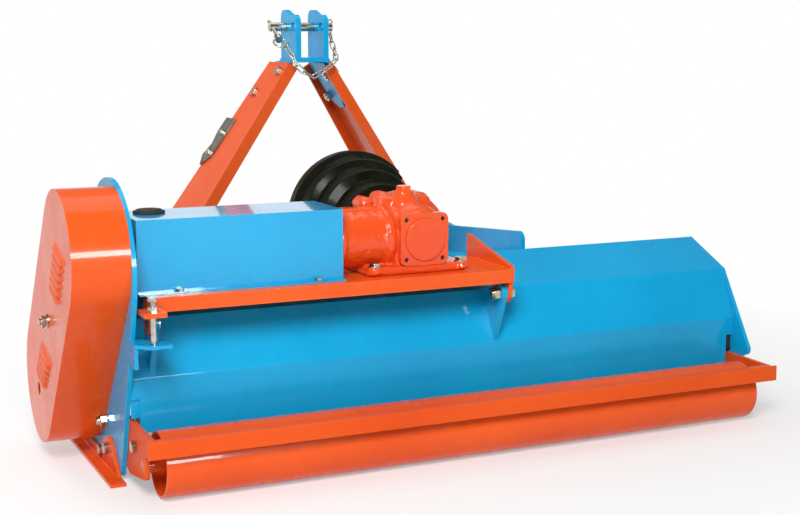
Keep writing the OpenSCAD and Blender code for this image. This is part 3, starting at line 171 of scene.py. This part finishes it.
lamp("key", (-1.5, -2.7, 2.45), (0, 0, 0.35), 1.5, 118)
lamp("front", (-1.3, 2.9, 2.0), (0, 0, 0.35), 2.0, 60, glossy=False)
lamp("over", (0.2, 0.5, 3.4), (0, 0, 0.3), 2.2, 20)
lamp("strip", (-0.05, -2.95, 0.90), (0, -0.3, 0.35), 0.75, 46, 0.42, diffuse=False)


# Materials: noise scales are per metre, bump heights in metres
MIX_A, MIX_B, MIX_RESULT = 6, 7, 2


class Tree:
    """A material's nodes, with the patterns that the finishes share."""

    def __init__(self, name):
        self.mat = bpy.data.materials.new(name)
        self.mat.use_nodes = True
        self.nt = self.mat.node_tree
        self.bsdf = self.nt.nodes["Principled BSDF"]
        self.place = self.node("TexCoord").outputs["Object"]

    def node(self, kind, operation=None, **inputs):
        return add(self.nt, kind, operation, **inputs)

    def link(self, a, b):
        self.nt.links.new(a, b)

    def noise(self, scale, detail, stretch=None):
        n = self.node("TexNoise", Scale=scale, Detail=detail)
        source = self.place
        if stretch:
            m = self.node("Mapping", Scale=stretch)
            self.link(source, m.inputs["Vector"])
            source = m.outputs["Vector"]
        self.link(source, n.inputs["Vector"])
        return n.outputs["Fac"]

    def ramp(self, fac, *stops):
        r = self.node("ValToRGB")
        for slot, (place, colour) in zip(r.color_ramp.elements, stops):
            slot.position = place
            slot.color = (*colour, 1)
        self.link(fac, r.inputs["Fac"])
        return r.outputs["Color"]

    def spread(self, fac, low, high, start=0.3, end=0.7):
        m = self.node("MapRange", From_Min=start, From_Max=end, To_Min=low, To_Max=high)
        self.link(fac, m.inputs["Value"])
        return m.outputs["Result"]

    def mix(self, fac, below, colour):
        m = self.node("Mix")
        m.data_type = "RGBA"
        self.link(fac, m.inputs["Factor"])
        self.link(below, m.inputs[MIX_A])
        m.inputs[MIX_B].default_value = (*colour, 1)
        return m.outputs[MIX_RESULT]

    def edge(self, radius, most):
        """Up to most near an outer edge, 0 on the flat: the mask of the painted edge highlights."""
        b = self.node("Bevel", Radius=radius)
        b.samples = 4
        g = self.node("NewGeometry")
        d = self.node("VectorMath", "DOT_PRODUCT")
        self.link(b.outputs["Normal"], d.inputs[0])
        self.link(g.outputs["Normal"], d.inputs[1])
        near = self.spread(d.outputs["Value"], 1.0, 0.0, 0.80, 0.99)
        return self.spread(near, 0.0, most, 0.0, 1.0)

    def bumps(self, *layers):
        last = None
        for pattern, height in layers:
            b = self.node("Bump", Strength=1.0, Distance=height)
            self.link(pattern, b.inputs["Height"])
            if last:
                self.link(last, b.inputs["Normal"])
            last = b.outputs["Normal"]
        self.link(last, self.bsdf.inputs["Normal"])

    def constants(self, **inputs):
        for key, value in inputs.items():
            self.bsdf.inputs[key.replace("_", " ")].default_value = value

    def use(self, colour, rough):
        self.link(colour, self.bsdf.inputs["Base Color"])
        self.link(rough, self.bsdf.inputs["Roughness"])
        return self.mat


def paint(name, deep, bright, edge_highlight, grain=None, rough=(0.22, 0.34), coat=0.30):
    """Sprayed paint, mottled, and lighter at its edges as a painted highlight; grain is a casting's
    scale and height.
    """
    t = Tree(name)
    colour = t.ramp(t.noise(4.0, 3.0), (0.30, deep), (0.72, bright))
    colour = t.mix(t.spread(t.noise(55.0, 4.0), 0.0, 0.12, 0.60, 0.74), colour, deep)
    # Painted highlight: the paint turns lighter along its outer edges.
    colour = t.mix(t.edge(0.0022, 0.55), colour, edge_highlight)
    if grain:
        scale, height = grain
        t.bumps((t.noise(scale, 3.0), height), (t.noise(scale * 3.1, 2.0), height * 0.35))
    else:
        t.bumps((t.noise(5.0, 0.0), 0.0004), (t.noise(900.0, 1.0), 0.00004))
    t.constants(Specular_IOR_Level=0.10, Coat_Weight=coat, Coat_Roughness=0.06)
    return t.use(colour, t.spread(t.noise(18.0, 4.0), *rough))


def metal(name, dark, light, rough, brush=None):
    """Bare or plated metal, lighter at its edges as a painted highlight; brush stretches its pattern
    along a direction.
    """
    t = Tree(name)
    fine = 0.00006
    colour = t.ramp(t.noise(60.0, 5.0, brush), (0.32, dark), (0.70, light))
    # Painted highlight: the metal turns lighter along its outer edges.
    colour = t.mix(t.edge(0.0012, 0.5), colour, light)
    t.bumps((t.noise(500.0, 3.0, brush), fine), (t.noise(90.0, 2.0), fine * 3))
    t.constants(Metallic=1.0)
    return t.use(colour, t.spread(t.noise(140.0, 4.0), *rough))


def dull(name, dark, light, rough, grain, height, coat=0.0, gloss=0.16):
    """Black paint, plastic, rubber and iron, lighter at their edges as a painted highlight, with a
    grain of a scale and height.
    """
    t = Tree(name)
    colour = t.ramp(t.noise(30.0, 5.0), (0.35, dark), (0.70, light))
    # Painted highlight: the colour turns lighter along the outer edges.
    colour = t.mix(t.edge(0.0016, 0.4), colour, light)
    t.bumps((t.noise(grain, 4.0), height), (t.noise(7.0, 1.0), height * 4))
    t.constants(Specular_IOR_Level=gloss, Coat_Weight=coat, Coat_Roughness=0.12)
    return t.use(colour, t.spread(t.noise(45.0, 4.0), *rough))


# The third colour of each paint is the lighter tone of its painted edge highlight.
BLUE = ((0.004, 0.315, 0.610), (0.005, 0.375, 0.690), (0.03, 0.50, 0.82))
ORANGE_EDGE_HIGHLIGHT = (0.88, 0.22, 0.07)
MATS = {
    "blue_paint": paint("blue_paint", *BLUE),
    "orange_paint": paint(
        "orange_paint", (0.72, 0.080, 0.009), (0.80, 0.106, 0.012), ORANGE_EDGE_HIGHLIGHT),
    # orange_satin is rougher with less coat, and its colours are a touch darker than orange_paint's:
    # painted shade on the plates that use it.
    "orange_satin": paint(
        "orange_satin", (0.69, 0.074, 0.008), (0.77, 0.098, 0.011), ORANGE_EDGE_HIGHLIGHT,
        rough=(0.34, 0.46), coat=0.04),
    "blue_gloss": paint("blue_gloss", *BLUE, coat=1.0),
    "orange_casting": paint(
        "orange_casting", (0.69, 0.060, 0.009), (0.78, 0.086, 0.013), (0.88, 0.17, 0.06),
        grain=(150.0, 0.0008), rough=(0.14, 0.28), coat=0.7),
    "zinc": metal("zinc", (0.36, 0.325, 0.25), (0.74, 0.70, 0.61), (0.16, 0.32)),
    "steel": metal(
        "steel", (0.17, 0.17, 0.145), (0.36, 0.355, 0.31), (0.28, 0.46), brush=(1, 1, 0.12)),
    "black_paint": dull(
        "black_paint", (0.012, 0.012, 0.013), (0.035, 0.035, 0.037), (0.32, 0.50), 700.0, 0.00005),
    "cast_iron": dull(
        "cast_iron", (0.030, 0.030, 0.032), (0.075, 0.073, 0.070), (0.45, 0.65), 420.0, 0.0004),
    "black_plastic": dull(
        "black_plastic", (0.004, 0.005, 0.002), (0.010, 0.012, 0.005), (0.20, 0.30), 800.0, 0.00004,
        coat=0.07, gloss=0.08),
    "black_rubber": dull(
        "black_rubber", (0.016, 0.016, 0.015), (0.045, 0.043, 0.038), (0.50, 0.68), 600.0, 0.00012),
}
SLOT = {s["node"]: s["material_slot"] for s in frame["record"]["subparts"]}


# Pieces
def new_piece(name, bm, body, slot, smooth=35.0, finish=None):
    me = bpy.data.meshes.new(name)
    bmesh.ops.recalc_face_normals(bm, faces=bm.faces)
    bm.to_mesh(me)
    bm.free()
    me.materials.append(MATS[finish or slot])
    o = bpy.data.objects.new(name, me)
    scene.collection.objects.link(o)
    me.shade_smooth()
    if smooth:
        me.set_sharp_from_angle(angle=math.radians(smooth))
    if isinstance(body, tuple):
        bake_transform(o)
    else:
        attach(o, body)
    return o


def soften(o, width, segments=2):
    """Rounds the sharp edges of a piece."""
    b = o.modifiers.new("edges", "BEVEL")
    b.width = width * MM
    b.segments = segments
    b.limit_method = "ANGLE"
    b.angle_limit = EDGE_ANGLE
    w = o.modifiers.new("normals", "WEIGHTED_NORMAL")
    w.keep_sharp = True
    return b


def dressed(node, width, fold=0.0, left_end=None):
    """A node with its outer edges rounded, and its shallow folds where a radius is given.

    What stands out to the left of left_end is taken off, and the holes are closed."""
    src = nodes[node]
    bm = bmesh.new()
    bm.from_mesh(src.data)
    bmesh.ops.remove_doubles(bm, verts=bm.verts, dist=0.02 * MM)
    if left_end is not None:
        edge = at(left_end, 0, 0).x - 0.4 * MM
        bmesh.ops.delete(bm, geom=[v for v in bm.verts if v.co.x < edge], context="VERTS")
        bmesh.ops.holes_fill(bm, edges=[e for e in bm.edges if len(e.link_faces) == 1], sides=0)
    bmesh.ops.dissolve_limit(bm, angle_limit=FLAT_ANGLE, verts=bm.verts, edges=bm.edges)
    if fold:
        bends = [e for e in bm.edges if len(e.link_faces) == 2 and e.calc_length() > 200 * MM
                 and FOLD_ANGLES[0] < e.calc_face_angle() < FOLD_ANGLES[1]]
        bmesh.ops.bevel(bm, geom=bends, offset=fold * MM, segments=4, profile=0.5, affect="EDGES",
                        clamp_overlap=True)
    o = new_piece("dressed_" + node, bm, BENT.get(node, src["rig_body"]), SLOT[node],
                  finish=FINISH.get(node))
    b = soften(o, width)
    b.use_clamp_overlap = True
    b.miter_outer = "MITER_ARC"
    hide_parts(node)


for name, o in nodes.items():
    o.data.materials.clear()
    o.data.materials.append(MATS[SLOT[name]])

# Orange plates that shine less than the covers and are painted a touch darker as shade, and the blue
# cover that mirrors the mast
FINISH = {"left_mast_arm": "orange_satin", "left_roller_bracket": "orange_satin",
          "right_roller_bracket": "orange_satin", "scraper_bar": "orange_satin",
          "shaft_cover": "blue_gloss"}
# The belts: the rotor's body and the platform's body, with points at the belts' lower and upper
# bend. new_piece only bakes such a piece in place; it doesn't bend it or hang it on either body.
BENT = {"v_belts": (DECK, PLATFORM, at(-700, 260, 222), at(-700, 177, 325))}
FOLDS = {"hood": 6.0}
# How far the edges are rounded, where it isn't ROUNDED
ROUNDED = 0.5
EDGES = {"hood": 1.6, "shaft_cover": 1.6, "belt_cover": 2.2, "gearbox_platform": 1.8,
         "left_side_plate": 1.4, "right_side_plate": 1.4, "left_mast_arm": 3.0,
         "right_mast_arm": 3.0, "mast_clevis": 2.0, "left_skid": 1.2, "right_skid": 1.2,
         "scraper_bar": 1.6, "left_roller_bracket": 1.2, "right_roller_bracket": 1.2,
         "left_hitch_plate": 1.4, "right_hitch_plate": 1.4, "hitch_beam": 2.0, "roller_tube": 0.8,
         "pto_guard": 1.0, "cover_cap": 2.0, "front_flaps": 0.8, "mast_bracket": 0.8,
         "gearbox_end_cap": 0.8}
# Nodes that pieces of their own replace further down
OWN = ("gearbox_housing", "filler_plug")
for name in nodes:
    if name not in OWN:
        dressed(name, EDGES.get(name, ROUNDED), fold=FOLDS.get(name, 0.0),
                left_end=COVER_X if name == "belt_cover" else None)


# Shapes
def spin(bm, line, origin, axis, steps):
    """A turned form: line gives (place along the axis, radius)."""
    u = (axis + 1) % 3
    v = (axis + 2) % 3
    rings = []
    for along, r in line:
        ring = []
        for k in range(steps if r else 1):
            a = 2 * math.pi * k / steps
            c = [0, 0, 0]
            c[axis] = along
            c[u] = origin[u] + r * math.cos(a)
            c[v] = origin[v] + r * math.sin(a)
            ring.append(bm.verts.new(at(*c)))
        rings.append(ring)
    for a, b in zip(rings, rings[1:]):
        for k in range(steps):
            face = [a[k % len(a)], a[(k + 1) % len(a)], b[(k + 1) % len(b)], b[k % len(b)]]
            bm.faces.new(list(dict.fromkeys(face)))


def slab(bm, lo, hi, r):
    """A block between two corners with rounded edges."""
    mid = [(a + b) / 2 for a, b in zip(lo, hi)]
    made = bmesh.ops.create_cube(bm, size=1.0)["verts"]
    for v in made:
        v.co = at(*(m + c * (b - a) for m, c, a, b in zip(mid, v.co, lo, hi)))
    edges = {e for v in made for e in v.link_edges}
    bmesh.ops.bevel(bm, geom=list(edges), offset=r * MM, segments=3, profile=0.5, affect="EDGES",
                    clamp_overlap=True)


def rounded_square(cx, cz, w, r, steps=8):
    pts = []
    for q in range(4):
        a0 = math.pi / 2 * q
        mx = cx + (w / 2 - r) * (1 if q in (0, 3) else -1)
        mz = cz + (w / 2 - r) * (1 if q in (0, 1) else -1)
        for k in range(steps + 1):
            a = a0 + math.pi / 2 * k / steps
            pts.append((mx + r * math.cos(a), mz + r * math.sin(a)))
    return pts


def ring_points(cx, cz, r, steps=24):
    turns = [2 * math.pi * k / steps for k in range(steps)]
    return [(cx + r * math.cos(a), cz + r * math.sin(a)) for a in turns]


def pierced_plate(bm, loops, y0, y1):
    """A plate in the rear view with an outline and holes, from y0 to y1."""
    edges = []
    for loop in loops:
        vs = [bm.verts.new(at(x, y0, z)) for x, z in loop]
        edges += [bm.edges.new((vs[k - 1], vs[k])) for k in range(len(vs))]
    faces = [g for g in bmesh.ops.triangle_fill(bm, edges=edges, use_beauty=True)["geom"]
             if isinstance(g, bmesh.types.BMFace)]
    grown = bmesh.ops.extrude_face_region(bm, geom=faces, use_keep_orig=True)["geom"]
    bmesh.ops.translate(bm, vec=(0, (y1 - y0) * MM, 0),
                        verts=[g for g in grown if isinstance(g, bmesh.types.BMVert)])
    bmesh.ops.dissolve_limit(bm, angle_limit=FLAT_ANGLE, verts=bm.verts, edges=bm.edges)


def bead(name, start, end, r, body, slot):
    """A weld run between two points, uneven along its length."""
    a = at(*start)
    b = at(*end)
    way = (b - a).normalized()
    side = way.cross(Vector((0.3, 0.5, 0.8))).normalized()
    up = way.cross(side)
    count = max(6, int((b - a).length / 0.0022))
    turns = [k * math.pi / 4 for k in range(8)]
    bm = bmesh.new()
    rings = []
    for i in range(count + 1):
        t = i / count
        p = a.lerp(b, t)
        swell = noise.noise(p * 140.0) * 0.25 + 0.16 * math.sin(i * 2.1) + 0.9
        taper = min(1.0, 6 * t + 0.25, 6 * (1 - t) + 0.25)
        p = p + (side * noise.noise(p * 90.0) + up * noise.noise(p * 77.0)) * r * MM * 0.3
        rings.append([bm.verts.new(p + (side * math.cos(turn) + up * math.sin(turn))
                                   * r * MM * swell * taper) for turn in turns])
    for u, v in zip(rings, rings[1:]):
        for k in range(8):
            bm.faces.new((u[k], u[(k + 1) % 8], v[(k + 1) % 8], v[k]))
    bm.faces.new(rings[0])
    bm.faces.new(rings[-1])
    new_piece(name, bm, body, slot, 0)


# Gearbox casting: turned profiles round the input shaft, the cross shaft and the filler plug
X_AXIS, Y_AXIS, Z_AXIS = 0, 1, 2
INPUT_AXIS = (PTO_X, 0, SHAFT_Z)
CROSS_AXIS = (0, SHAFT_Y, SHAFT_Z)
PLUG_AXIS = (-92.5, 123.5, 0)
NECK_END = -246
INPUT_BODY = [(60, 0), (60, 47), (70, 49), (76, 55), (84, 60), (96, 62), (106, 62), (111, 65),
              (116, 74), (122, 78), (176, 78), (184, 75), (188, 62), (194, 52), (231, 50),
              (231, 64), (240, 64), (240, 0)]
NECK = [(NECK_END, 0), (NECK_END, 59), (-236, 59), (-232, 54), (-160, 53), (-152, 54), (-149, 58),
        (-139, 58), (-135, 54), (PTO_X, 54), (PTO_X, 0)]
PLUG_SEAT = [(440, 0), (440, 34), (462, 32), (472, 25), (478, 20), (484, 18), (484, 0)]
PLUG_HEAD = [(480, 0), (480, 17.5), (485, 17.5), (485, 15.2), (492, 15.2), (493, 14), (493, 0)]
FOOT_BOSS = [(PLATFORM_Z + 4, 0), (PLATFORM_Z + 4, 17), (PLATFORM_Z + 16.4, 14),
             (PLATFORM_Z + 16.4, 0)]
RIB = [(70, 0), (70, 6), (118, 9), (118, 0)]
# Where the painted shade sits inside each flange hole: place along the bore and radius
HOLE_SHADE = [(52.2, 0), (52.2, 4.6), (62, 4.6), (62, 0)]
FLANGE_HOLES = [(PTO_X + sx * 36.5, SHAFT_Z + sz * 36.5) for sx in (-1, 1) for sz in (-1, 1)]
# The body's lugs: angle, reach, radius, start and end
LUGS = ((142, 90, 15, 150, 190), (142, 74, 20, 150, 188), (120, 70, 18, 150, 189),
        (58, 70, 17, 136, 189), (218, 74, 14, 150, 189), (322, 74, 14, 150, 189))
RIB_ANGLES = (28, 152)


def around_input(angle, reach):
    a = math.radians(angle)
    return (PTO_X + reach * math.cos(a), 0, SHAFT_Z + reach * math.sin(a))


def gearbox():
    bm = bmesh.new()
    spin(bm, INPUT_BODY, INPUT_AXIS, Y_AXIS, 72)
    spin(bm, NECK, CROSS_AXIS, X_AXIS, 72)
    slab(bm, (-236, 98, SHAFT_Z + 40), (-140, 132, SHAFT_Z + 57), 3)
    slab(bm, (-190, 50, PLATFORM_Z), (6, 190, PLATFORM_Z + 16), 4)
    slab(bm, (-196, 56, PLATFORM_Z), (-170, 184, PLATFORM_Z + 10), 4)
    slab(bm, (-136, 64, PLATFORM_Z), (-32, 184, SHAFT_Z), 5)
    for x, y in FOOT_BOLTS:
        spin(bm, FOOT_BOSS, (x, y, 0), Z_AXIS, 32)
    for angle, reach, r, y0, y1 in LUGS:
        spin(bm, [(y0, 0), (y0, r * 0.7), (y0 + 9, r), (y1, r), (y1, 0)],
             around_input(angle, reach), Y_AXIS, 32)
    for angle in RIB_ANGLES:
        spin(bm, RIB, around_input(angle, 58), Y_AXIS, 24)
    slab(bm, (-150, 112, SHAFT_Z + 40), (-40, 150, SHAFT_Z + 72), 8)
    spin(bm, PLUG_SEAT, PLUG_AXIS, Z_AXIS, 48)
    o = new_piece("gearbox_casting", bm, PLATFORM, "orange_casting", 0)
    m = o.modifiers.new("melt", "REMESH")
    m.mode = "VOXEL"
    m.voxel_size = 0.0022
    m.use_smooth_shade = True
    m = o.modifiers.new("soften", "SMOOTH")
    m.factor = 0.5
    m.iterations = 7
    skin = bpy.data.textures.new("cast_skin", "CLOUDS")
    skin.noise_scale = 0.011
    skin.noise_depth = 2
    m = o.modifiers.new("skin", "DISPLACE")
    m.texture = skin
    m.texture_coords = "LOCAL"
    m.strength = 0.0019
    m.mid_level = 0.5
    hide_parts("gearbox_housing")

    bm = bmesh.new()
    holes = [ring_points(x, z, 4.2) for x, z in FLANGE_HOLES]
    pierced_plate(bm, [rounded_square(PTO_X, SHAFT_Z, 96, 13)] + holes, 50, 63)
    soften(new_piece("gearbox_rear_flange", bm, PLATFORM, "orange_casting"), 1.6, 3)
    # Painted shade: black fillers inside the flange's bolt holes stand for the shade in them.
    bm = bmesh.new()
    for x, z in FLANGE_HOLES:
        spin(bm, HOLE_SHADE, (x, 0, z), Y_AXIS, 24)
    new_piece("gearbox_hole_shade", bm, PLATFORM, "black_paint")

    bm = bmesh.new()
    spin(bm, PLUG_HEAD, PLUG_AXIS, Z_AXIS, 6)
    plug = new_piece("filler_plug_head", bm, PLATFORM, "orange_casting")
    soften(plug, 1.0)
    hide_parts("filler_plug")


gearbox()


# Louvres pressed out of the belt cover, sloping up towards the front: the middles of the first
# and last slat as (y, z), how many there are, and their length
LOUVRES = (((93, 412), (139, 340), 6, 80), ((239, 211), (288, 161), 5, 82))
LOUVRE_TILT = math.radians(18.5)
# A slat's section: place across it as a share of the pitch, and height above the cover
SUNK = -0.3
SLAT = ((-0.46, SUNK), (-0.38, 0.5), (-0.08, 3.2), (0.20, 5.9), (0.25, 6.2), (0.42, 6.2),
        (0.43, SUNK))
SLAT_STEPS = 24


def louvres():
    bm = bmesh.new()
    along = (math.cos(LOUVRE_TILT), math.sin(LOUVRE_TILT))
    across = (along[1], -along[0])
    for first, last, count, length in LOUVRES:
        step = [(b - a) / (count - 1) for a, b in zip(first, last)]
        pitch = step[0] * across[0] + step[1] * across[1]
        for i in range(count):
            rows = []
            for k in range(SLAT_STEPS + 1):
                t = -math.cos(math.pi * k / SLAT_STEPS)
                full = math.sqrt(max(0.0, 1 - abs(t) ** 5))
                slim = 0.12 + 0.88 * math.sqrt(max(0.0, 1 - t ** 8))
                d = length / 2 * t
                row = []
                for part, rise in SLAT:
                    c = part * slim * pitch
                    y = first[0] + step[0] * i + across[0] * c + along[0] * d
                    z = first[1] + step[1] * i + across[1] * c + along[1] * d
                    up = rise if rise < 0 else rise * full + SUNK * (1 - full)
                    row.append(bm.verts.new(at(COVER_X - up, y, z)))
                rows.append(row)
            for a, b in zip(rows, rows[1:]):
                for k in range(len(SLAT)):
                    n = (k + 1) % len(SLAT)
                    bm.faces.new((a[k], a[n], b[n], b[k]))
            bm.faces.new(rows[0])
            bm.faces.new(rows[-1])
    new_piece("cover_louvres", bm, nodes["belt_cover"]["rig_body"], "orange_paint", 40)


louvres()


# Weld runs
ROLLER_ARMS = nodes["scraper_bar"]["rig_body"]
bead("weld_gusset", (77.5, 24, 338.5), (77.5, 186, 338.5), 3.2, PLATFORM, "orange_paint")
for k, x in enumerate((-431.2, -419.8, 251.8, 263.2)):
    bead("weld_hitch_%d" % k, (x, 290, 323.6), (x, 428, 289.2), 3.6, DECK, "blue_paint")
for k, x in enumerate((-624.2, 624.2)):
    bead("weld_scraper_%d" % k, (x, -59.5, 89), (x, -59.5, 115), 3.0, ROLLER_ARMS, "orange_paint")
for k, x in enumerate((-648.0, 648.0)):
    bead("weld_skid_%d" % k, (x, 120, 6.8), (x, 420, 6.8), 3.0, DECK, "orange_paint")


# Nuts and thread ends outside the side plates, on the bolts that carry the roller's arms
PLATE_X, PIVOT_Y, PIVOT_Z, PIVOT_D = 641, 215, 84, 13
THREAD_TURNS = 9


def nut(name, way):
    """A nut with its washer and the bolt's end, standing out to the left or right."""
    d = PIVOT_D
    c = way * PLATE_X
    centre = (c, PIVOT_Y, PIVOT_Z)
    bm = bmesh.new()
    top = c + way * d * 0.18
    spin(bm, [(c, 0), (c, d * 1.1), (top, d * 1.1), (top, 0)], centre, X_AXIS, 40)
    soften(new_piece(name + "_washer", bm, DECK, "zinc"), 0.4)
    bm = bmesh.new()
    a, b = c + way * d * 0.16, c + way * d * 0.98
    spin(bm, [(a, 0), (a, d * 0.92), (b, d * 0.92), (b, 0)], centre, X_AXIS, 6)
    soften(new_piece(name, bm, DECK, "zinc"), 0.9)
    bm = bmesh.new()
    line = [(c, 0)]
    for k in range(THREAD_TURNS * 2 + 1):
        line.append((c + way * d * (0.3 + 1.15 * k / (THREAD_TURNS * 2)),
                     d * (0.5 if k % 2 else 0.44)))
    end = c + way * d * 1.5
    line += [(end, d * 0.38), (end, 0)]
    spin(bm, line, centre, X_AXIS, 32)
    new_piece(name + "_end", bm, DECK, "zinc", 25)


nut("pivot_nut_left", -1)
nut("pivot_nut_right", 1)


# Washers under the heads of the gearbox's foot bolts
WASHER_Z, WASHER_THICK, WASHER_IN, WASHER_OUT = 354.2, 2.0, 6.2, 12.5
for k, (x, y) in enumerate(FOOT_BOLTS):
    bm = bmesh.new()
    top = WASHER_Z + WASHER_THICK
    spin(bm, [(WASHER_Z, WASHER_IN), (WASHER_Z, WASHER_OUT), (top, WASHER_OUT), (top, WASHER_IN),
              (WASHER_Z, WASHER_IN)], (x, y, WASHER_Z), Z_AXIS, 40)
    bmesh.ops.remove_doubles(bm, verts=bm.verts, dist=0.01 * MM)
    soften(new_piece("foot_washer_%d" % k, bm, PLATFORM, "zinc"), 0.4)


# Plates behind the skirt's notches, above the roller's arms: the left one in blue closes its notch,
# and the right one in black is painted shade for the dark inside of the hood
for name, slot, x0, x1 in (("left", "blue_paint", -632.6, -611),
                           ("right", "black_rubber", 611, 632.6)):
    bm = bmesh.new()
    slab(bm, (x0, 66.2, 122), (x1, 69.2, 166), 0.8)
    new_piece("notch_backing_" + name, bm, DECK, slot)


# Stage
def floor():
    bm = bmesh.new()
    bmesh.ops.create_grid(bm, x_segments=8, y_segments=8, size=9.0)
    me = bpy.data.meshes.new("floor")
    bm.to_mesh(me)
    bm.free()
    t = Tree("floor")
    t.constants(Base_Color=(0.86, 0.845, 0.84, 1), Roughness=0.75, Specular_IOR_Level=0.2)
    # Seen by the camera and in mirrors, it turns white away from the object and keeps its shadow.
    far = t.node("VectorMath", "LENGTH")
    t.link(t.place, far.inputs[0])
    fade = t.spread(far.outputs["Value"], 0.35, 1.0, 0.60, 1.6)
    rays = t.node("LightPath")
    shown = rays.outputs["Is Camera Ray"]
    for ray in ("Is Glossy Ray", "Is Transmission Ray"):
        either = t.node("Math", "MAXIMUM")
        t.link(shown, either.inputs[0])
        t.link(rays.outputs[ray], either.inputs[1])
        shown = either.outputs[0]
    both = t.node("Math", "MULTIPLY")
    t.link(fade, both.inputs[0])
    t.link(shown, both.inputs[1])
    white = t.node("Emission", Color=(1, 1, 1, 1))
    blend = t.node("MixShader")
    t.link(both.outputs[0], blend.inputs[0])
    t.link(t.bsdf.outputs[0], blend.inputs[1])
    t.link(white.outputs[0], blend.inputs[2])
    t.link(blend.outputs[0], t.nt.nodes["Material Output"].inputs["Surface"])
    me.materials.append(t.mat)
    o = bpy.data.objects.new("floor", me)
    scene.collection.objects.link(o)
    o.location.z = cad_lo.z - 0.5 * MM


floor()
